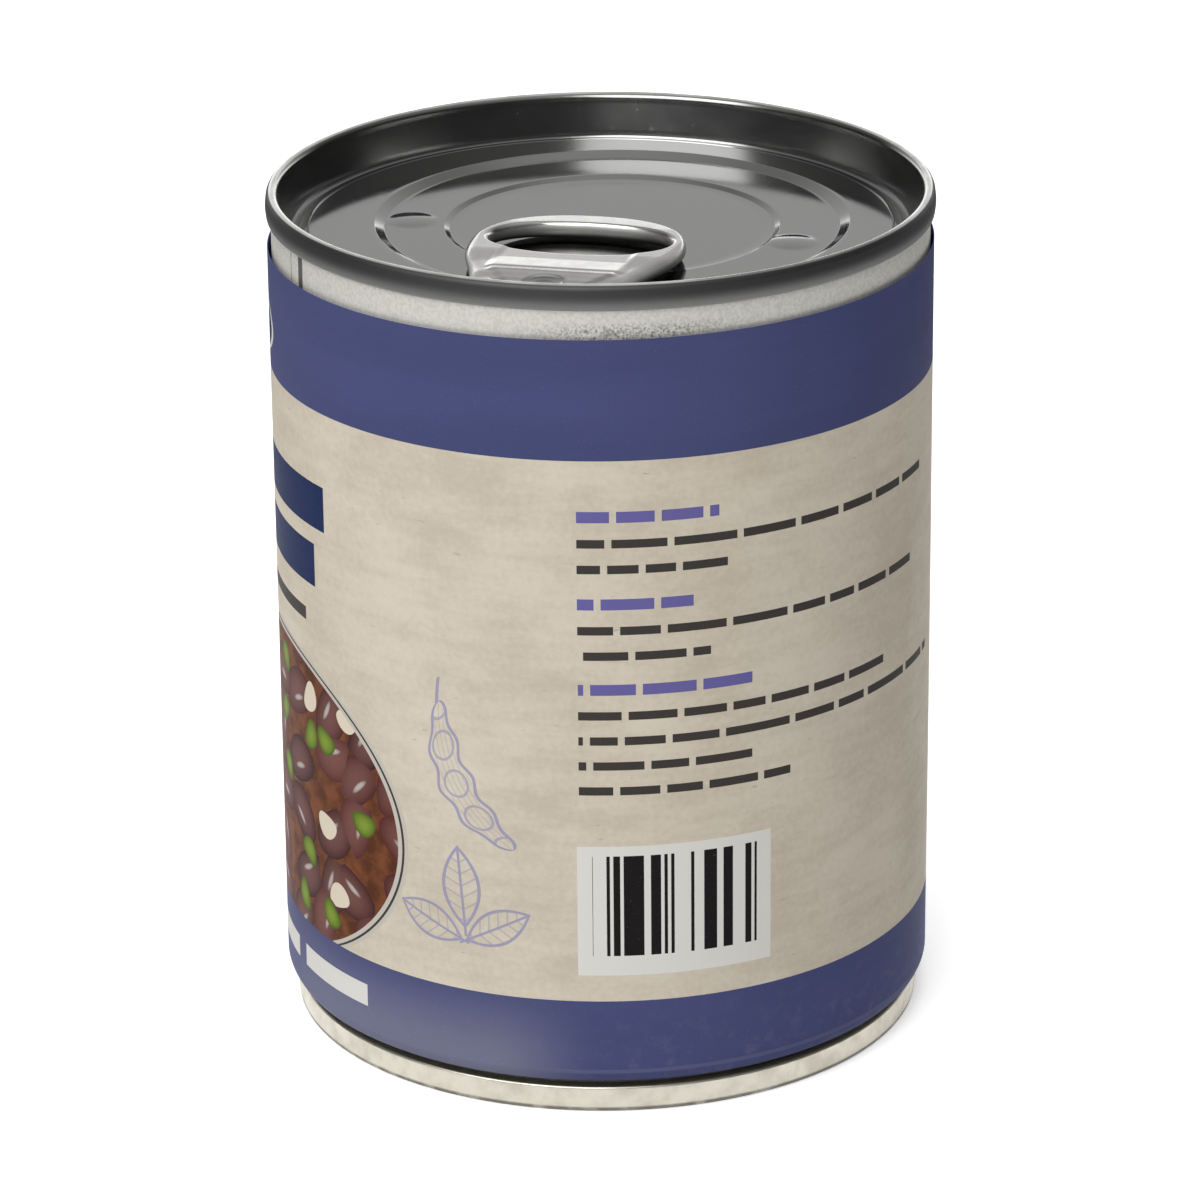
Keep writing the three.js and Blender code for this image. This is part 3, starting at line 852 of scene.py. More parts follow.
def print_rows(sheet, label):
    """Block of fine print as rows of short plain bars, under violet headings."""
    nodes = sheet.nodes
    middle_block = nodes.times(nodes.above(sheet.up, 54.2), 1.1)
    upper_block = nodes.times(nodes.above(sheet.up, 64.3), 1.2)
    even = nodes.less(sheet.up, nodes.plus(middle_block, upper_block))
    line = nodes.math("FLOOR", nodes.times(even, 1 / ROW_PITCH))
    along = nodes.plus(nodes.times(sheet.across, 1 / WORD_PITCH), nodes.times(line, 7.3))
    gaps = nodes.add(
        "ShaderNodeTexVoronoi",
        {"W": along, "Scale": 1.0},
        voronoi_dimensions="1D",
        feature="DISTANCE_TO_EDGE",
    )
    words = nodes.above(gaps.outputs["Distance"], 0.06)

    def bars(rows, half):
        return sheet.blocks([(ROWS_LEFT, end, middle - half, middle + half) for middle, end in rows])

    sheet.ink(nodes.times(bars(HEADINGS, 0.65), words), label.heading)
    sheet.ink(nodes.times(bars(UPPER_ROWS + LOWER_ROWS, 0.5), words), label.print_grey)


def print_stripes(sheet, label):
    """White panel of upright dark stripes."""
    nodes = sheet.nodes
    sheet.ink(sheet.block(*STRIPE_PANEL), label.bare)
    step = nodes.math("FLOOR", nodes.times(sheet.across, STRIPES_PER_MM))
    lot = nodes.add("ShaderNodeTexWhiteNoise", {"W": step}, noise_dimensions="1D").outputs["Value"]
    sheet.ink(nodes.times(sheet.block(*STRIPE_FIELD), nodes.above(lot, 0.46)), label.stripe)


def print_table(sheet, label):
    """Pale ruled panel on the far side."""
    nodes = sheet.nodes
    sheet.ink(sheet.block(*TABLE_FRAME), label.print_grey)
    sheet.ink(sheet.block(*TABLE_PAPER), label.bare)
    within_row = nodes.math("FRACT", nodes.times(sheet.up, 1 / TABLE_PITCH))
    rules = nodes.below(within_row, 0.07)
    sheet.ink(nodes.times(rules, sheet.block(*TABLE_RULES)), label.print_grey)
    entries = nodes.near(within_row, 0.52, 0.14)
    sheet.ink(nodes.times(entries, sheet.blocks(TABLE_COLUMNS)), label.print_grey)
    sheet.ink(sheet.block(*TABLE_HEADING), label.navy)


def leaf_lines(sheet, middle, half_long, half_wide, degrees):
    """Drawn leaf: outline, rib and veins."""
    nodes = sheet.nodes
    along, off, _ = nodes.parts(sheet.about(middle, half_long, half_wide, degrees))
    wing = nodes.math("ABSOLUTE", off)
    edge = nodes.less(wing, nodes.less(1.0, nodes.times(along, along)))
    within = nodes.near(along, 0.0, 1.0)
    outline = nodes.times(nodes.near(edge, -0.07, 0.09), within)
    rib = nodes.times(nodes.near(off, 0.0, 0.07), nodes.near(along, -0.1, 1.1))
    sweep = nodes.math("FRACT", nodes.less(nodes.times(along, 3.5), nodes.times(wing, 0.9)))
    veins = nodes.times(nodes.below(sweep, 0.16), nodes.below(edge, 0.0), within)
    return nodes.either(outline, rib, nodes.times(veins, 0.6))


def pod_lines(sheet, middle, half_long, half_wide, degrees):
    """Drawn bean pod: a bent outline that swells over each bean, and a stalk."""
    nodes = sheet.nodes
    along, off, _ = nodes.parts(sheet.about(middle, half_long, half_wide, degrees))
    bent = nodes.plus(off, nodes.times(along, along, 1.1), -0.4)
    wing = nodes.math("ABSOLUTE", bent)
    swell = nodes.plus(nodes.times(nodes.math("COSINE", nodes.times(along, 13.0)), 0.14), 0.86)
    round_end = nodes.math("SQRT", nodes.math("SUBTRACT", 1.0, nodes.times(along, along), clamp=True))
    edge = nodes.less(wing, nodes.times(round_end, swell))
    within = nodes.near(along, 0.0, 1.0)
    outline = nodes.times(nodes.near(edge, -0.06, 0.08), within)
    beans = nodes.math("FRACT", nodes.plus(nodes.times(along, 13.0 / TURN), 0.5))
    apart = nodes.times(nodes.plus(beans, -0.5), 2.6)
    bean = nodes.plus(nodes.times(apart, apart), nodes.times(bent, bent, 2.4))
    rounds = nodes.times(nodes.near(bean, 0.8, 0.16), nodes.near(along, 0.0, 0.86))
    hatching = nodes.below(nodes.math("FRACT", nodes.times(bent, 4.0)), 0.2)
    shading = nodes.times(hatching, nodes.below(edge, -0.2), within)
    stalk = nodes.times(nodes.near(along, 1.12, 0.14), nodes.near(bent, 0.12, 0.1))
    return nodes.either(outline, nodes.times(rounds, 0.8), nodes.times(shading, 0.45), stalk)


def print_drawings(sheet, label):
    """Line drawings of a bean pod and a sprig of three leaves."""
    nodes = sheet.nodes
    leaves = [leaf_lines(sheet, *leaf) for leaf in LEAVES]
    sheet.ink(nodes.times(nodes.either(pod_lines(sheet, *POD), *leaves), 0.8), label.lilac)


def print_medallion(sheet, label):
    """Oval picture of a bean stew in a pale double rim."""
    nodes = sheet.nodes
    far = sheet.oval(*MEDALLION)
    sheet.ink(nodes.below(far, 1.0), label.rim)
    sheet.ink(nodes.near(far, 0.973, 0.006), label.print_grey)
    ovals = shared_group("scattered_ovals", make_scattered_ovals)
    depth = nodes.spread(nodes.noise(sheet.flat, 0.35, 4.0), 0.35, 0.65)
    stew = nodes.blend(depth, label.sauce_dark, label.sauce)
    beans = nodes.group(ovals, {"Vector": sheet.flat, "Spacing": 6.8, "Half Length": 4.3, "Half Width": 2.8})
    skin = nodes.blend(beans["Pick"], label.bean, label.bean_red)
    skin = nodes.blend(nodes.times(beans["Crown"], 0.4), skin, label.bean_lit)
    skin = nodes.blend(nodes.times(beans["Glint"], 0.55), skin, label.bare)
    stew = nodes.blend(beans["Mask"], stew, skin)
    shift = nodes.add("ShaderNodeVectorMath", {0: sheet.flat, 1: (31.0, 17.0, 0.0)}, operation="ADD")
    moved = shift.outputs[0]
    bits = nodes.group(ovals, {"Vector": moved, "Spacing": 7.4, "Half Length": 2.0, "Half Width": 1.5})
    herb = nodes.blend(bits["Crown"], label.herb_dark, label.herb)
    stew = nodes.blend(nodes.times(bits["Mask"], nodes.above(bits["Pick"], 0.66)), stew, herb)
    stew = nodes.blend(nodes.times(bits["Mask"], nodes.below(bits["Pick"], 0.26)), stew, label.cream)
    sheet.ink(nodes.below(far, 0.945), stew)


def label_finish(label):
    """Coated paper printed with bands of colour and plain shapes, rubbed along its lower edge, with painted
    sheen on the lower band and a painted highlight along the crease.
    """
    material, nodes, shader = new_material("label_paper")
    place = nodes.place()
    angle, _, height = front_bearing(nodes, place)
    sheet = Sheet(nodes, nodes.times(angle, label.radius / MM), nodes.times(height, 1 / MM))
    print_parchment(sheet, label)
    print_medallion(sheet, label)
    print_bands(sheet, label)
    print_bars(sheet, label)
    print_rows(sheet, label)
    print_stripes(sheet, label)
    print_table(sheet, label)
    print_drawings(sheet, label)

    crease = label.crease / MM
    patchy = nodes.spread(nodes.noise(sheet.flat, 0.5, 5.0, 0.65), 0.48, 0.72)
    low = nodes.spread(sheet.up, 17.0, crease)
    left = nodes.times(nodes.spread(sheet.across, 0.0, -14.0), nodes.spread(sheet.across, -58.0, -38.0))
    # Patchy lightening towards the lower edge: partly wear, partly painted sheen.
    rubbed_and_highlit = nodes.times(patchy, low, 0.04)
    # Painted highlight along the crease of the tucked edge, stronger at the left.
    fold = nodes.times(nodes.near(sheet.up, crease, 0.25), nodes.plus(nodes.times(left, 0.08), 0.05))
    # Painted sheen on the lower band at the left.
    painted_sheen = nodes.times(left, low, 0.16)
    # Pale specks, thicker in the painted sheen at the lower left.
    specks = nodes.spread(nodes.noise(sheet.flat, 3.2, 3.0), 0.6, 0.75)
    specks = nodes.times(specks, nodes.plus(nodes.times(low, left, 0.3), 0.04))
    sheet.ink(nodes.either(rubbed_and_highlit, fold, painted_sheen, specks), label.bare)
    nodes.feed(shader["Base Color"], sheet.colour)
    fibre = nodes.noise(place, 2600.0, 4.0, 0.6)
    rough = nodes.spread(fibre, 0.3, 0.7, 0.44, 0.54, "LINEAR")
    nodes.feed(shader["Roughness"], nodes.plus(rough, nodes.times(rubbed_and_highlit, 0.4)))
    shader["Specular IOR Level"].default_value = 0.03
    nodes.feed(shader["Normal"], nodes.bump(nodes.plus(fibre, nodes.times(patchy, 0.3)), 0.6, 0.01 * MM))
    return material


# Pieces
BODY_STEPS = 360
END_STEPS = 384
RIVET_STEPS = 72
HIDDEN_GAP = 0.35 * MM
SEAM_GAP = 0.02 * MM
SEAM_LIP = 0.35 * MM


def body_profile(body, lid, base):
    """Section of the filled body, from its underside round the wall to its roof."""
    foot = base.depth + base.gauge + HIDDEN_GAP
    rim = lid.top - lid.seam_tall - SEAM_GAP
    roof = lid.top - lid.depth - lid.outer_drop - lid.inner_drop - lid.gauge - HIDDEN_GAP
    return [
        (0.0, foot),
        (body.neck_radius - 0.6 * MM, foot),
        (body.neck_radius, base.seam_tall + SEAM_GAP),
        *eased((body.neck_radius, body.neck_low), (body.radius, body.neck_high), 14),
        *straight((body.radius, body.neck_high), (body.radius, rim), 24),
        (body.radius, rim),
        (lid.seam_radius - lid.seam_thick + 0.15 * MM, rim),
        (lid.wall_foot + 0.6 * MM, roof + 0.3 * MM),
        (lid.wall_foot + 0.35 * MM, roof),
        (0.0, roof),
    ]


def make_body(can):
    """Tinplate body with its side weld pressed in."""
    body = can.body
    piece = turned("tinplate_body", body_profile(body, can.lid, can.base), BODY_STEPS)
    weld = Vector((math.sin(body.weld_bearing), -math.cos(body.weld_bearing)))
    choose(piece, lambda place: (place.xy - weld * body.radius).length < 0.4 * MM)
    bpy.ops.transform.translate(value=(*(-weld * body.weld_depth), 0.0))
    bpy.ops.object.mode_set(mode="OBJECT")
    finish_piece(piece, body_finish(body), "can_body")


def lid_profile(lid):
    """Section of the lid, from its hidden underside out round the seam and in over the panel."""
    panel = lid.top - lid.depth
    shelf = panel - lid.outer_drop
    centre = shelf - lid.inner_drop
    under = centre - lid.gauge
    seam_low = lid.top - lid.seam_tall
    shoulder = lid.top - lid.seam_crown
    half = lid.seam_thick / 2
    face = lid.seam_radius - lid.seam_bow
    lip = SEAM_LIP
    groove = (lid.wall_foot - lid.groove_round, panel)
    score = 0.15 * MM
    return [
        (0.0, under),
        (lid.wall_foot - 0.05 * MM, under),
        (lid.wall_foot + 0.25 * MM, under + 0.3 * MM),
        (lid.seam_radius - lid.seam_thick - 0.2 * MM, seam_low),
        (face - 2 * lip, seam_low),
        *oval((face - lip, seam_low + lip), lip, lip, -90, 0, 8)[:-1],
        *bowed((face, seam_low + lip), (face, shoulder), lid.seam_bow, 12),
        *oval((face - half, shoulder), half, lid.seam_crown, 0, 180, 20)[:-1],
        *straight((face - 2 * half, shoulder), (lid.wall_foot, groove[1]), 8),
        *oval(groove, lid.groove_round, lid.groove_round, 0, -135, 16),
        *eased((lid.panel_radius + 0.12 * MM, panel - 0.04 * MM), (lid.panel_radius - 0.25 * MM, panel), 4),
        (lid.score_radius + score, panel),
        (lid.score_radius + score * 0.4, panel - lid.score_depth * 0.8),
        (lid.score_radius, panel - lid.score_depth),
        (lid.score_radius - score * 0.4, panel - lid.score_depth * 0.8),
        (lid.score_radius - score, panel),
        *straight((lid.score_radius - 2 * score, panel), (lid.outer_high, panel), 10),
        *sloped((lid.outer_high, panel), (lid.outer_low, shelf), 26),
        *straight((lid.outer_low, shelf), (lid.inner_high, shelf), 16),
        *sloped((lid.inner_high, shelf), (lid.inner_low, centre), 26),
        *straight((lid.inner_low, centre), (0.0, centre), 12),
        (0.0, centre),
    ]


def on_lid(lid, side, ahead, height):
    """A place on the lid, given beside and along the tab, in the can's own frame."""
    return Matrix.Rotation(lid.turn, 4, "Z") @ Vector((side, ahead, height))


def shift_steps(piece, lid, panel):
    """Moves the two steps to their own middle, behind the rivet."""
    choose(piece, lambda place: place.xy.length < lid.outer_high + 0.05 * MM and place.z > panel - 1.0 * MM)
    bpy.ops.transform.translate(
        value=on_lid(lid, lid.steps_side, lid.steps_ahead, 0.0),
        use_proportional_edit=True,
        proportional_edit_falloff="SMOOTH",
        proportional_size=5.0 * MM,
    )
    bpy.ops.object.mode_set(mode="OBJECT")


def make_lid(can):
    """Ring-pull lid with its two bumps, and the rivet that holds the tab."""
    lid = can.lid
    finish = lid_finish(lid)
    piece = turned("ring_pull_lid", lid_profile(lid), END_STEPS)
    panel = lid.top - lid.depth
    shift_steps(piece, lid, panel)
    for side in (-lid.bump_side, lid.bump_side):
        middle = on_lid(lid, side + lid.bump_shift, lid.bump_ahead, panel - lid.outer_drop)
        raise_dome(piece, middle, lid.bump_reach, lid.bump_tall)
    finish_piece(piece, finish, "easy_open_end", 50.0)

    middle = on_lid(lid, 0.0, lid.rivet_ahead, 0.0)
    stem = lid.rivet_radius * 0.63
    foot = lid.top - lid.depth - 0.1 * MM
    low = can.tab.high - 2 * can.tab.web_drop - can.tab.island_drop + 0.09 * MM
    high = low + lid.rivet_tall
    soft = 0.18 * MM
    dimple = 0.15 * MM
    rivet = turned(
        "tab_rivet",
        [
            (0.0, foot),
            (stem, foot),
            (stem, low),
            (lid.rivet_radius - soft, low),
            *oval((lid.rivet_radius - soft, low + soft), soft, soft, -90, 60, 10),
            *eased((lid.rivet_radius * 0.75, high), (lid.rivet_radius * 0.3, high - dimple), 8),
            *straight((lid.rivet_radius * 0.3, high - dimple), (0.0, high - dimple), 3),
            (0.0, high - dimple),
        ],
        RIVET_STEPS,
        middle.xy,
    )
    finish_piece(rivet, finish)


TAB_RING_COLUMNS = 36
TAB_SIDE_COLUMNS = 108
TAB_RIM_ROWS = 12
TAB_TOP_ROWS = 84
TAB_UNDER_ROWS = 4


def tab_edges(tab, column):
    """Matching points of the tab's outline and of its finger hole, on the right half of the tab."""
    half, end = tab.half_width, tab.ring_end
    side, ahead = tab.shoulder_side, tab.shoulder_ahead
    hole, back, front = tab.hole_half, tab.hole_back, tab.hole_front
    middle = (back + front) / 2
    square = 0.62
    bend = (front - back) / 2 * square
    ring_curve = ((0.0, end), (half * 0.66, end), (half, end + 4.7 * MM), (half, tab.widest))
    waist = ((half, tab.widest + 6.0 * MM), (side + 0.7 * MM, ahead - 5.0 * MM), (side, ahead))
    nose = ((side - 1.0 * MM, ahead + 3.4 * MM), (side * 0.5, tab.nose_end), (0.0, tab.nose_end))
    beside_hole = 0.83
    if column <= TAB_RING_COLUMNS:
        t = column / TAB_RING_COLUMNS
        inner = bezier((0.0, back), (hole * square, back), (hole, middle - bend), (hole, middle), t)
        return bezier(*ring_curve, t * beside_hole), inner
    t = (column - TAB_RING_COLUMNS) / TAB_SIDE_COLUMNS
    inner = bezier((hole, middle), (hole, middle + bend), (hole * square, front), (0.0, front), t)
    at_widest, at_shoulder = 0.16, 0.58
    if t < at_widest:
        return bezier(*ring_curve, beside_hole + (1 - beside_hole) * t / at_widest), inner
    if t < at_shoulder:
        return bezier(ring_curve[-1], *waist, (t - at_widest) / (at_shoulder - at_widest)), inner
    return bezier(waist[-1], *nose, (t - at_shoulder) / (1 - at_shoulder)), inner


def tab_loops(tab):
    """Closed loops of outline and hole points all the way round, with their inward directions."""
    count = TAB_RING_COLUMNS + TAB_SIDE_COLUMNS
    right = [tab_edges(tab, column) for column in range(count + 1)]
    left = [((-outer[0], outer[1]), (-inner[0], inner[1])) for outer, inner in right[-2:0:-1]]
    pairs = [(Vector(outer), Vector(inner)) for outer, inner in right + left]
    loops = []
    for i, (outer, inner) in enumerate(pairs):
        ahead = pairs[(i + 1) % len(pairs)]
        behind = pairs[i - 1]
        along_outer = (ahead[0] - behind[0]).normalized()
        along_inner = (ahead[1] - behind[1]).normalized()
        into_outer = Vector((-along_outer.y, along_outer.x))
        into_inner = Vector((along_inner.y, -along_inner.x))
        loops.append((outer, into_outer, inner, into_inner))
    return loops


def tab_drop(tab, lid, side, ahead):
    """How far the upper side lies below the tab's top: tilted ring and bar, wings, web and rivet island."""
    wing = abs(side)
    ring = max(0.0, tab.hole_back + 1.0 * MM - ahead) * math.tan(tab.ring_tilt)
    run = tab.bar_front - tab.bar_back
    climbed = min(max((ahead - tab.bar_back) / run, 0.0), 1.0)
    face = run * math.tan(tab.bar_tilt) * (1 - climbed)
    lip = ahead - tab.bar_front
    face += ridge(lip, 0.3 * MM, 0.35 * MM, 0.07 * MM)
    face -= ridge(lip, 1.3 * MM, 0.45 * MM, 0.08 * MM)
    bar = smooth((tab.bar_half + 0.9 * MM - wing) / (0.9 * MM))
    along_bar = smooth((ahead - tab.bar_back + 3.0 * MM) / (5.0 * MM))
    bar_end = tab.bar_half - 0.6 * max(0.0, lip)
    wings = tab.wing_drop * along_bar * smooth((wing - bar_end) / (1.2 * MM))
    past_bend = max(0.0, ahead - tab.web_bend) / (tab.web_front - tab.web_bend)
    half = tab.web_half * math.sqrt(max(0.0, 1 - past_bend**2))
    pocket = min(ahead - tab.web_back, tab.web_front - ahead, half + 0.5 * MM - wing)
    web = tab.web_drop * (smooth((lip - 2.0 * MM) / (2.0 * MM)) + smooth(pocket / (1.2 * MM)))
    island = math.hypot(side, ahead - lid.rivet_ahead)
    sunk = tab.island_drop * smooth((tab.island_radius - island) / (0.4 * MM))
    return ring + face * bar * smooth((ahead - tab.hole_back) / (6.0 * MM)) + wings + web + sunk


def make_tab(can):
    """Ring-pull tab with a rolled rim, a finger hole, a stiffening bar and a sunk web."""
    tab, lid = can.tab, can.lid
    loops = tab_loops(tab)
    rows = 2 * TAB_RIM_ROWS + TAB_TOP_ROWS + TAB_UNDER_ROWS

    def rolled(crest, angle):
        tall = tab.high - tab_drop(tab, lid, crest.x, crest.y) - tab.low
        return tab.low + tall * (1 + math.sin(angle)) / 2

    def place(column, row):
        index = column % len(loops)
        outer, into_outer, inner, into_inner = loops[index]
        from_end = min(index, len(loops) - index)
        ring = smooth(1 - from_end / TAB_RING_COLUMNS)
        front = smooth((from_end - TAB_RING_COLUMNS) / (0.35 * TAB_SIDE_COLUMNS))
        ring_roll = tab.side_rim + (tab.ring_rim - tab.side_rim) * ring
        outer_roll = ring_roll + (tab.flange - tab.side_rim) * front
        inner_roll = ring_roll + (tab.bar_rim - tab.side_rim) * front
        outer_rim = outer + into_outer * outer_roll
        inner_rim = inner + into_inner * inner_roll
        row = row % rows
        if row <= TAB_RIM_ROWS:
            angle = math.pi * (row / TAB_RIM_ROWS - 0.5)
            flat = outer_rim - into_outer * outer_roll * math.cos(angle)
            height = rolled(outer_rim, angle)
        elif row <= TAB_RIM_ROWS + TAB_TOP_ROWS:
            flat = outer_rim.lerp(inner_rim, (row - TAB_RIM_ROWS) / TAB_TOP_ROWS)
            height = tab.high - tab_drop(tab, lid, flat.x, flat.y)
        elif row <= 2 * TAB_RIM_ROWS + TAB_TOP_ROWS:
            angle = math.pi * ((row - TAB_RIM_ROWS - TAB_TOP_ROWS) / TAB_RIM_ROWS - 0.5)
            flat = inner_rim - into_inner * inner_roll * math.cos(angle)
            height = rolled(inner_rim, -angle)
        else:
            flat = inner_rim.lerp(outer_rim, (row - rows + TAB_UNDER_ROWS) / TAB_UNDER_ROWS)
            height = tab.low
        pivot = Vector((0.0, lid.rivet_ahead, tab.low))
        tilted = pivot + Matrix.Rotation(tab.tilt, 3, "X") @ (Vector((*flat, height)) - pivot)
        return on_lid(lid, *tilted)

    piece = placed_grid("ring_tab", len(loops), rows, place)
    finish_piece(piece, tab_finish(tab, lid), "pull_tab", 60.0)


def base_profile(base, body):
    """Section of the base, from under its middle out round the seam to its hidden upper side."""
    roof = base.depth + base.gauge
    profile = [(0.0, base.depth)]
    inner_edge = 0.0
    for bead in (base.bead_inner, base.bead_outer):
        low, high = bead - base.bead_half, bead + base.bead_half
        profile += straight((inner_edge, base.depth), (low, base.depth), 6)[1:]
        dip = base.depth - base.bead_deep
        profile += eased((low, base.depth), (bead, dip), 8) + eased((bead, dip), (high, base.depth), 8)
        inner_edge = high
    turn_in = 0.5 * MM
    heel = 0.35 * MM
    face = base.seam_radius - base.seam_bow
    lip = SEAM_LIP
    profile += straight((inner_edge, base.depth), (base.wall_radius, base.depth), 6)
    profile += oval((base.wall_radius, base.depth - turn_in), turn_in, turn_in, 90, 8, 8)
    profile += [(base.foot_inner - heel * 0.6, heel * 0.9), (base.foot_inner - heel * 0.2, heel * 0.2)]
    profile += straight((base.foot_inner, 0.0), (base.foot_outer, 0.0), 4)
    reach_out = face - base.foot_outer
    profile += oval((base.foot_outer, reach_out), reach_out, reach_out, -90, 0, 8)[:-1]
    profile += bowed((face, reach_out), (face, base.seam_tall - lip), base.seam_bow, 12)
    profile += oval((face - lip, base.seam_tall - lip), lip, lip, 0, 90, 8)
    profile += [
        (body.neck_radius - 0.25 * MM, base.seam_tall),
        (body.neck_radius - 0.8 * MM, roof),
        (0.0, roof),
    ]
    return profile


def make_base(can):
    """Bottom end with its rolled seam and beaded panel."""
    piece = turned("can_base", base_profile(can.base, can.body), END_STEPS)
    finish_piece(piece, base_finish(can.base), "bottom_end")


LABEL_COLUMNS = 480
LABEL_ROWS = 52
LABEL_TUCK_ROWS = 8


def make_label(can):
    """Paper label wrapped round the body, glued in an overlap at the back and tucked in at the bottom."""
    label = can.label
    overlap = label.overlap / label.radius
    ease_in = math.radians(16.0)

    def place(column, row):
        angle = -math.pi - overlap + (TURN + overlap) * column / LABEL_COLUMNS
        flap = smooth((angle - math.pi + overlap + ease_in) / ease_in)
        wave = 0.4 * math.sin(2 * angle + 0.6) + 0.35 * math.sin(5 * angle + 2.0)
        wave += 0.25 * math.sin(11 * angle)
        if row <= LABEL_TUCK_ROWS:
            t = row / LABEL_TUCK_ROWS
            height = label.low + (label.crease - label.low) * t
            inward = label.tuck * (1 - t) ** 1.6
        else:
            t = (row - LABEL_TUCK_ROWS) / (LABEL_ROWS - LABEL_TUCK_ROWS)
            height = label.crease + (label.top - label.crease) * t
            height -= label.lean * (0.5 - 0.5 * math.sin(angle)) * t
            inward = 0.0
        sway = label.sway * (wave - 1) * (0.6 + 0.4 * math.sin(height / (14 * MM) + angle))
        radius = label.radius - label.flap_lift * (1 - flap) + sway * (1 - flap) - inward
        return Vector((radius * math.sin(angle), -radius * math.cos(angle), height))

    piece = placed_grid("wrap_label", LABEL_COLUMNS, LABEL_ROWS, place)
    sheet = piece.modifiers.new("paper", "SOLIDIFY")
    sheet.thickness = label.thick
    sheet.offset = -1.0
    bpy.ops.object.modifier_apply(modifier=sheet.name)
    finish_piece(piece, label_finish(label), "paper_label")


# Stage
KEY_PLACE = (-0.72, -1.3, 1.39)
KEY_SIZE = (1.9, 1.4)
TOP_PLACE = (-0.1, 0.15, 1.4)
TOP_SIZE = (1.4, 1.4)
LIGHT_TARGET = (0.0, 0.0, 0.05)
FLAG_INNER = 0.22
FLAG_OUTER = 1.9
FLAG_HIGH = 2 * MM
HORIZON = ((0.0, 2.0), (0.15, 2.0), (0.2, 1.0), (0.23, 0.72), (0.27, 0.64), (0.33, 0.62))
BACK_LIGHT = (*HORIZON, (0.62, 0.58), (0.78, 0.48), (0.86, 0.3), (0.94, 0.28), (1.0, 0.65))
FRONT_LIGHT = ((0.0, 0.02), (0.2, 0.04), (0.5, 0.14), (0.8, 0.4), (1.0, 0.7))


def make_floor():
    """Plain pale floor."""
    bpy.ops.object.select_all(action="DESELECT")
    bpy.ops.mesh.primitive_plane_add(size=4.0)
    floor = bpy.context.object
    floor.name = "floor"
    material, nodes, shader = new_material("pale_floor")
    shade = nodes.noise(nodes.place(), 6.0)
    nodes.feed(shader["Base Color"], nodes.blend(shade, (0.9, 0.9, 0.9, 1.0), (0.93, 0.93, 0.93, 1.0)))
    shader["Roughness"].default_value = 0.8
    shader["Specular IOR Level"].default_value = 0.0
    shader["Emission Color"].default_value = (1.0, 1.0, 1.0, 1.0)
    shader["Emission Strength"].default_value = 0.35
    floor.data.materials.append(material)
    floor.visible_diffuse = False


def make_flag():
    """Dark ring on the floor round the can, seen only in reflections."""
    flag = turned("dark_flag", [(FLAG_INNER, FLAG_HIGH), (FLAG_OUTER, FLAG_HIGH)], 96)
    material, nodes, shader = new_material("flag_grey")
    shade = nodes.noise(nodes.place(), 8.0)
    nodes.feed(shader["Base Color"], nodes.blend(shade, (0.13, 0.13, 0.13, 1.0), (0.17, 0.17, 0.17, 1.0)))
    shader["Roughness"].default_value = 0.9
    flag.data.materials.append(material)
    flag.visible_camera = False
    flag.visible_diffuse = False
    flag.visible_shadow = False


def softbox(name, place, size, power, mirrored=False):
    """A soft light that faces the can, mirrored in the tin or not."""
    bpy.ops.object.light_add(type="AREA", location=place)
    lamp = bpy.context.object
    lamp.name = name
    lamp.data.shape = "RECTANGLE"
    lamp.data.size, lamp.data.size_y = size
    lamp.data.energy = power
    lamp.visible_glossy = mirrored
    lamp.rotation_euler = (Vector(LIGHT_TARGET) - Vector(place)).to_track_quat("-Z", "Y").to_euler()


def make_world():
    """Surroundings: bright low behind the can, softer above, dark behind the camera and grey below."""
    world = bpy.data.worlds.new("studio")
    world.use_nodes = True
    bpy.context.scene.world = world
    nodes = Nodes(world.node_tree)
    heading = nodes.parts(nodes.add("ShaderNodeTexCoord").outputs["Generated"])
    rise = nodes.math("MAXIMUM", heading[2], 0.0)
    back = nodes.ramp(rise, BACK_LIGHT)
    front = nodes.ramp(rise, FRONT_LIGHT)
    light = nodes.blend(nodes.spread(heading[1], 0.5, 0.9), front, back)
    light = nodes.blend(nodes.below(heading[2], 0.0), light, (0.7, 0.7, 0.7, 1.0))
    nodes.feed(world.node_tree.nodes["Background"].inputs["Color"], light)


def make_camera(stage):
    """Camera at the photograph's viewing angle."""
    bpy.ops.object.camera_add()
    camera = bpy.context.object
    camera.name = "front_camera"
    camera.data.lens = stage.lens
    camera.data.sensor_width = 36.0
    camera.data.clip_start = 0.01
    upright = Matrix.Rotation(math.pi / 2 - stage.camera_pitch, 4, "X")
    yaw = Matrix.Rotation(stage.camera_yaw, 4, "Z")
    roll = Matrix.Rotation(stage.camera_roll, 4, "Z")
    place = Matrix.Translation((0.0, -stage.camera_back, stage.camera_high))
    camera.matrix_world = place @ yaw @ upright @ roll
    bpy.context.scene.camera = camera


def make_stage(can):
    """Floor, soft light, surroundings and camera."""
    stage = can.stage
    make_floor()
    make_flag()
    softbox("key_softbox", KEY_PLACE, KEY_SIZE, stage.key_power, mirrored=True)
    softbox("top_softbox", TOP_PLACE, TOP_SIZE, stage.top_power)
    make_world()
    make_camera(stage)
    bpy.context.scene.view_settings.view_transform = "Standard"


# Add-on
class FOODCAN_OT_body(bpy.types.Operator):
    """Model the tinplate body"""

    bl_idname = "food_can.body"
    bl_label = "Tinplate body"

    def execute(self, context):
        make_body(context.scene.food_can)
        return {"FINISHED"}


class FOODCAN_OT_lid(bpy.types.Operator):
    """Model the ring-pull lid and its rivet"""

    bl_idname = "food_can.lid"
    bl_label = "Ring-pull lid"

    def execute(self, context):
        make_lid(context.scene.food_can)
        return {"FINISHED"}


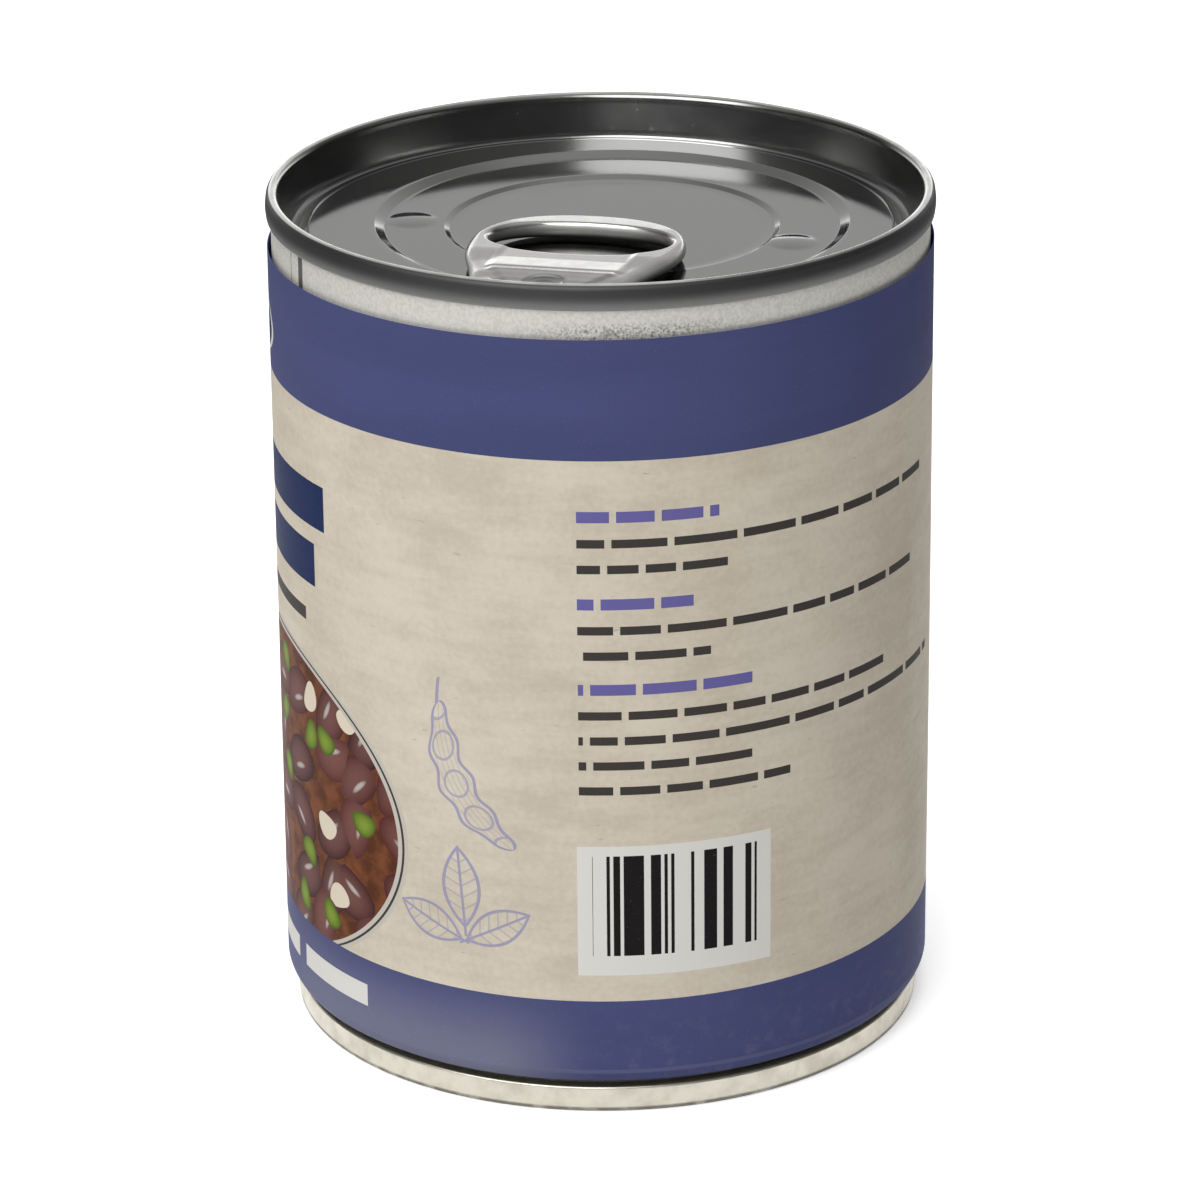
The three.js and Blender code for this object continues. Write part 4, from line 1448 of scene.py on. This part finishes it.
class FOODCAN_OT_tab(bpy.types.Operator):
    """Model the ring-pull tab"""

    bl_idname = "food_can.tab"
    bl_label = "Ring-pull tab"

    def execute(self, context):
        make_tab(context.scene.food_can)
        return {"FINISHED"}


class FOODCAN_OT_base(bpy.types.Operator):
    """Model the base with its seam"""

    bl_idname = "food_can.base"
    bl_label = "Base"

    def execute(self, context):
        make_base(context.scene.food_can)
        return {"FINISHED"}


class FOODCAN_OT_label(bpy.types.Operator):
    """Model and print the paper label"""

    bl_idname = "food_can.label"
    bl_label = "Paper label"

    def execute(self, context):
        make_label(context.scene.food_can)
        return {"FINISHED"}


class FOODCAN_OT_stage(bpy.types.Operator):
    """Set the floor, the light and the camera"""

    bl_idname = "food_can.stage"
    bl_label = "Stage"

    def execute(self, context):
        make_stage(context.scene.food_can)
        return {"FINISHED"}


class FOODCAN_PT_panel(bpy.types.Panel):
    """Steps that build the can"""

    bl_idname = "FOODCAN_PT_panel"
    bl_label = "Food can"
    bl_space_type = "VIEW_3D"
    bl_region_type = "UI"
    bl_category = "Food can"

    def draw(self, context):
        for step in STEPS:
            self.layout.operator(step.bl_idname)


STEPS = (
    FOODCAN_OT_stage,
    FOODCAN_OT_body,
    FOODCAN_OT_lid,
    FOODCAN_OT_tab,
    FOODCAN_OT_base,
    FOODCAN_OT_label,
)
GROUPS = (
    BodySettings,
    LidSettings,
    TabSettings,
    BaseSettings,
    LabelSettings,
    StageSettings,
    FoodCanSettings,
)
CLASSES = (*GROUPS, *STEPS, FOODCAN_PT_panel)


def register():
    for entry in CLASSES:
        bpy.utils.register_class(entry)
    bpy.types.Scene.food_can = PointerProperty(type=FoodCanSettings)


def unregister():
    del bpy.types.Scene.food_can
    for entry in reversed(CLASSES):
        bpy.utils.unregister_class(entry)


def main():
    register()
    bpy.ops.food_can.stage()
    bpy.ops.food_can.body()
    bpy.ops.food_can.lid()
    bpy.ops.food_can.tab()
    bpy.ops.food_can.base()
    bpy.ops.food_can.label()


if __name__ == "__main__":
    main()
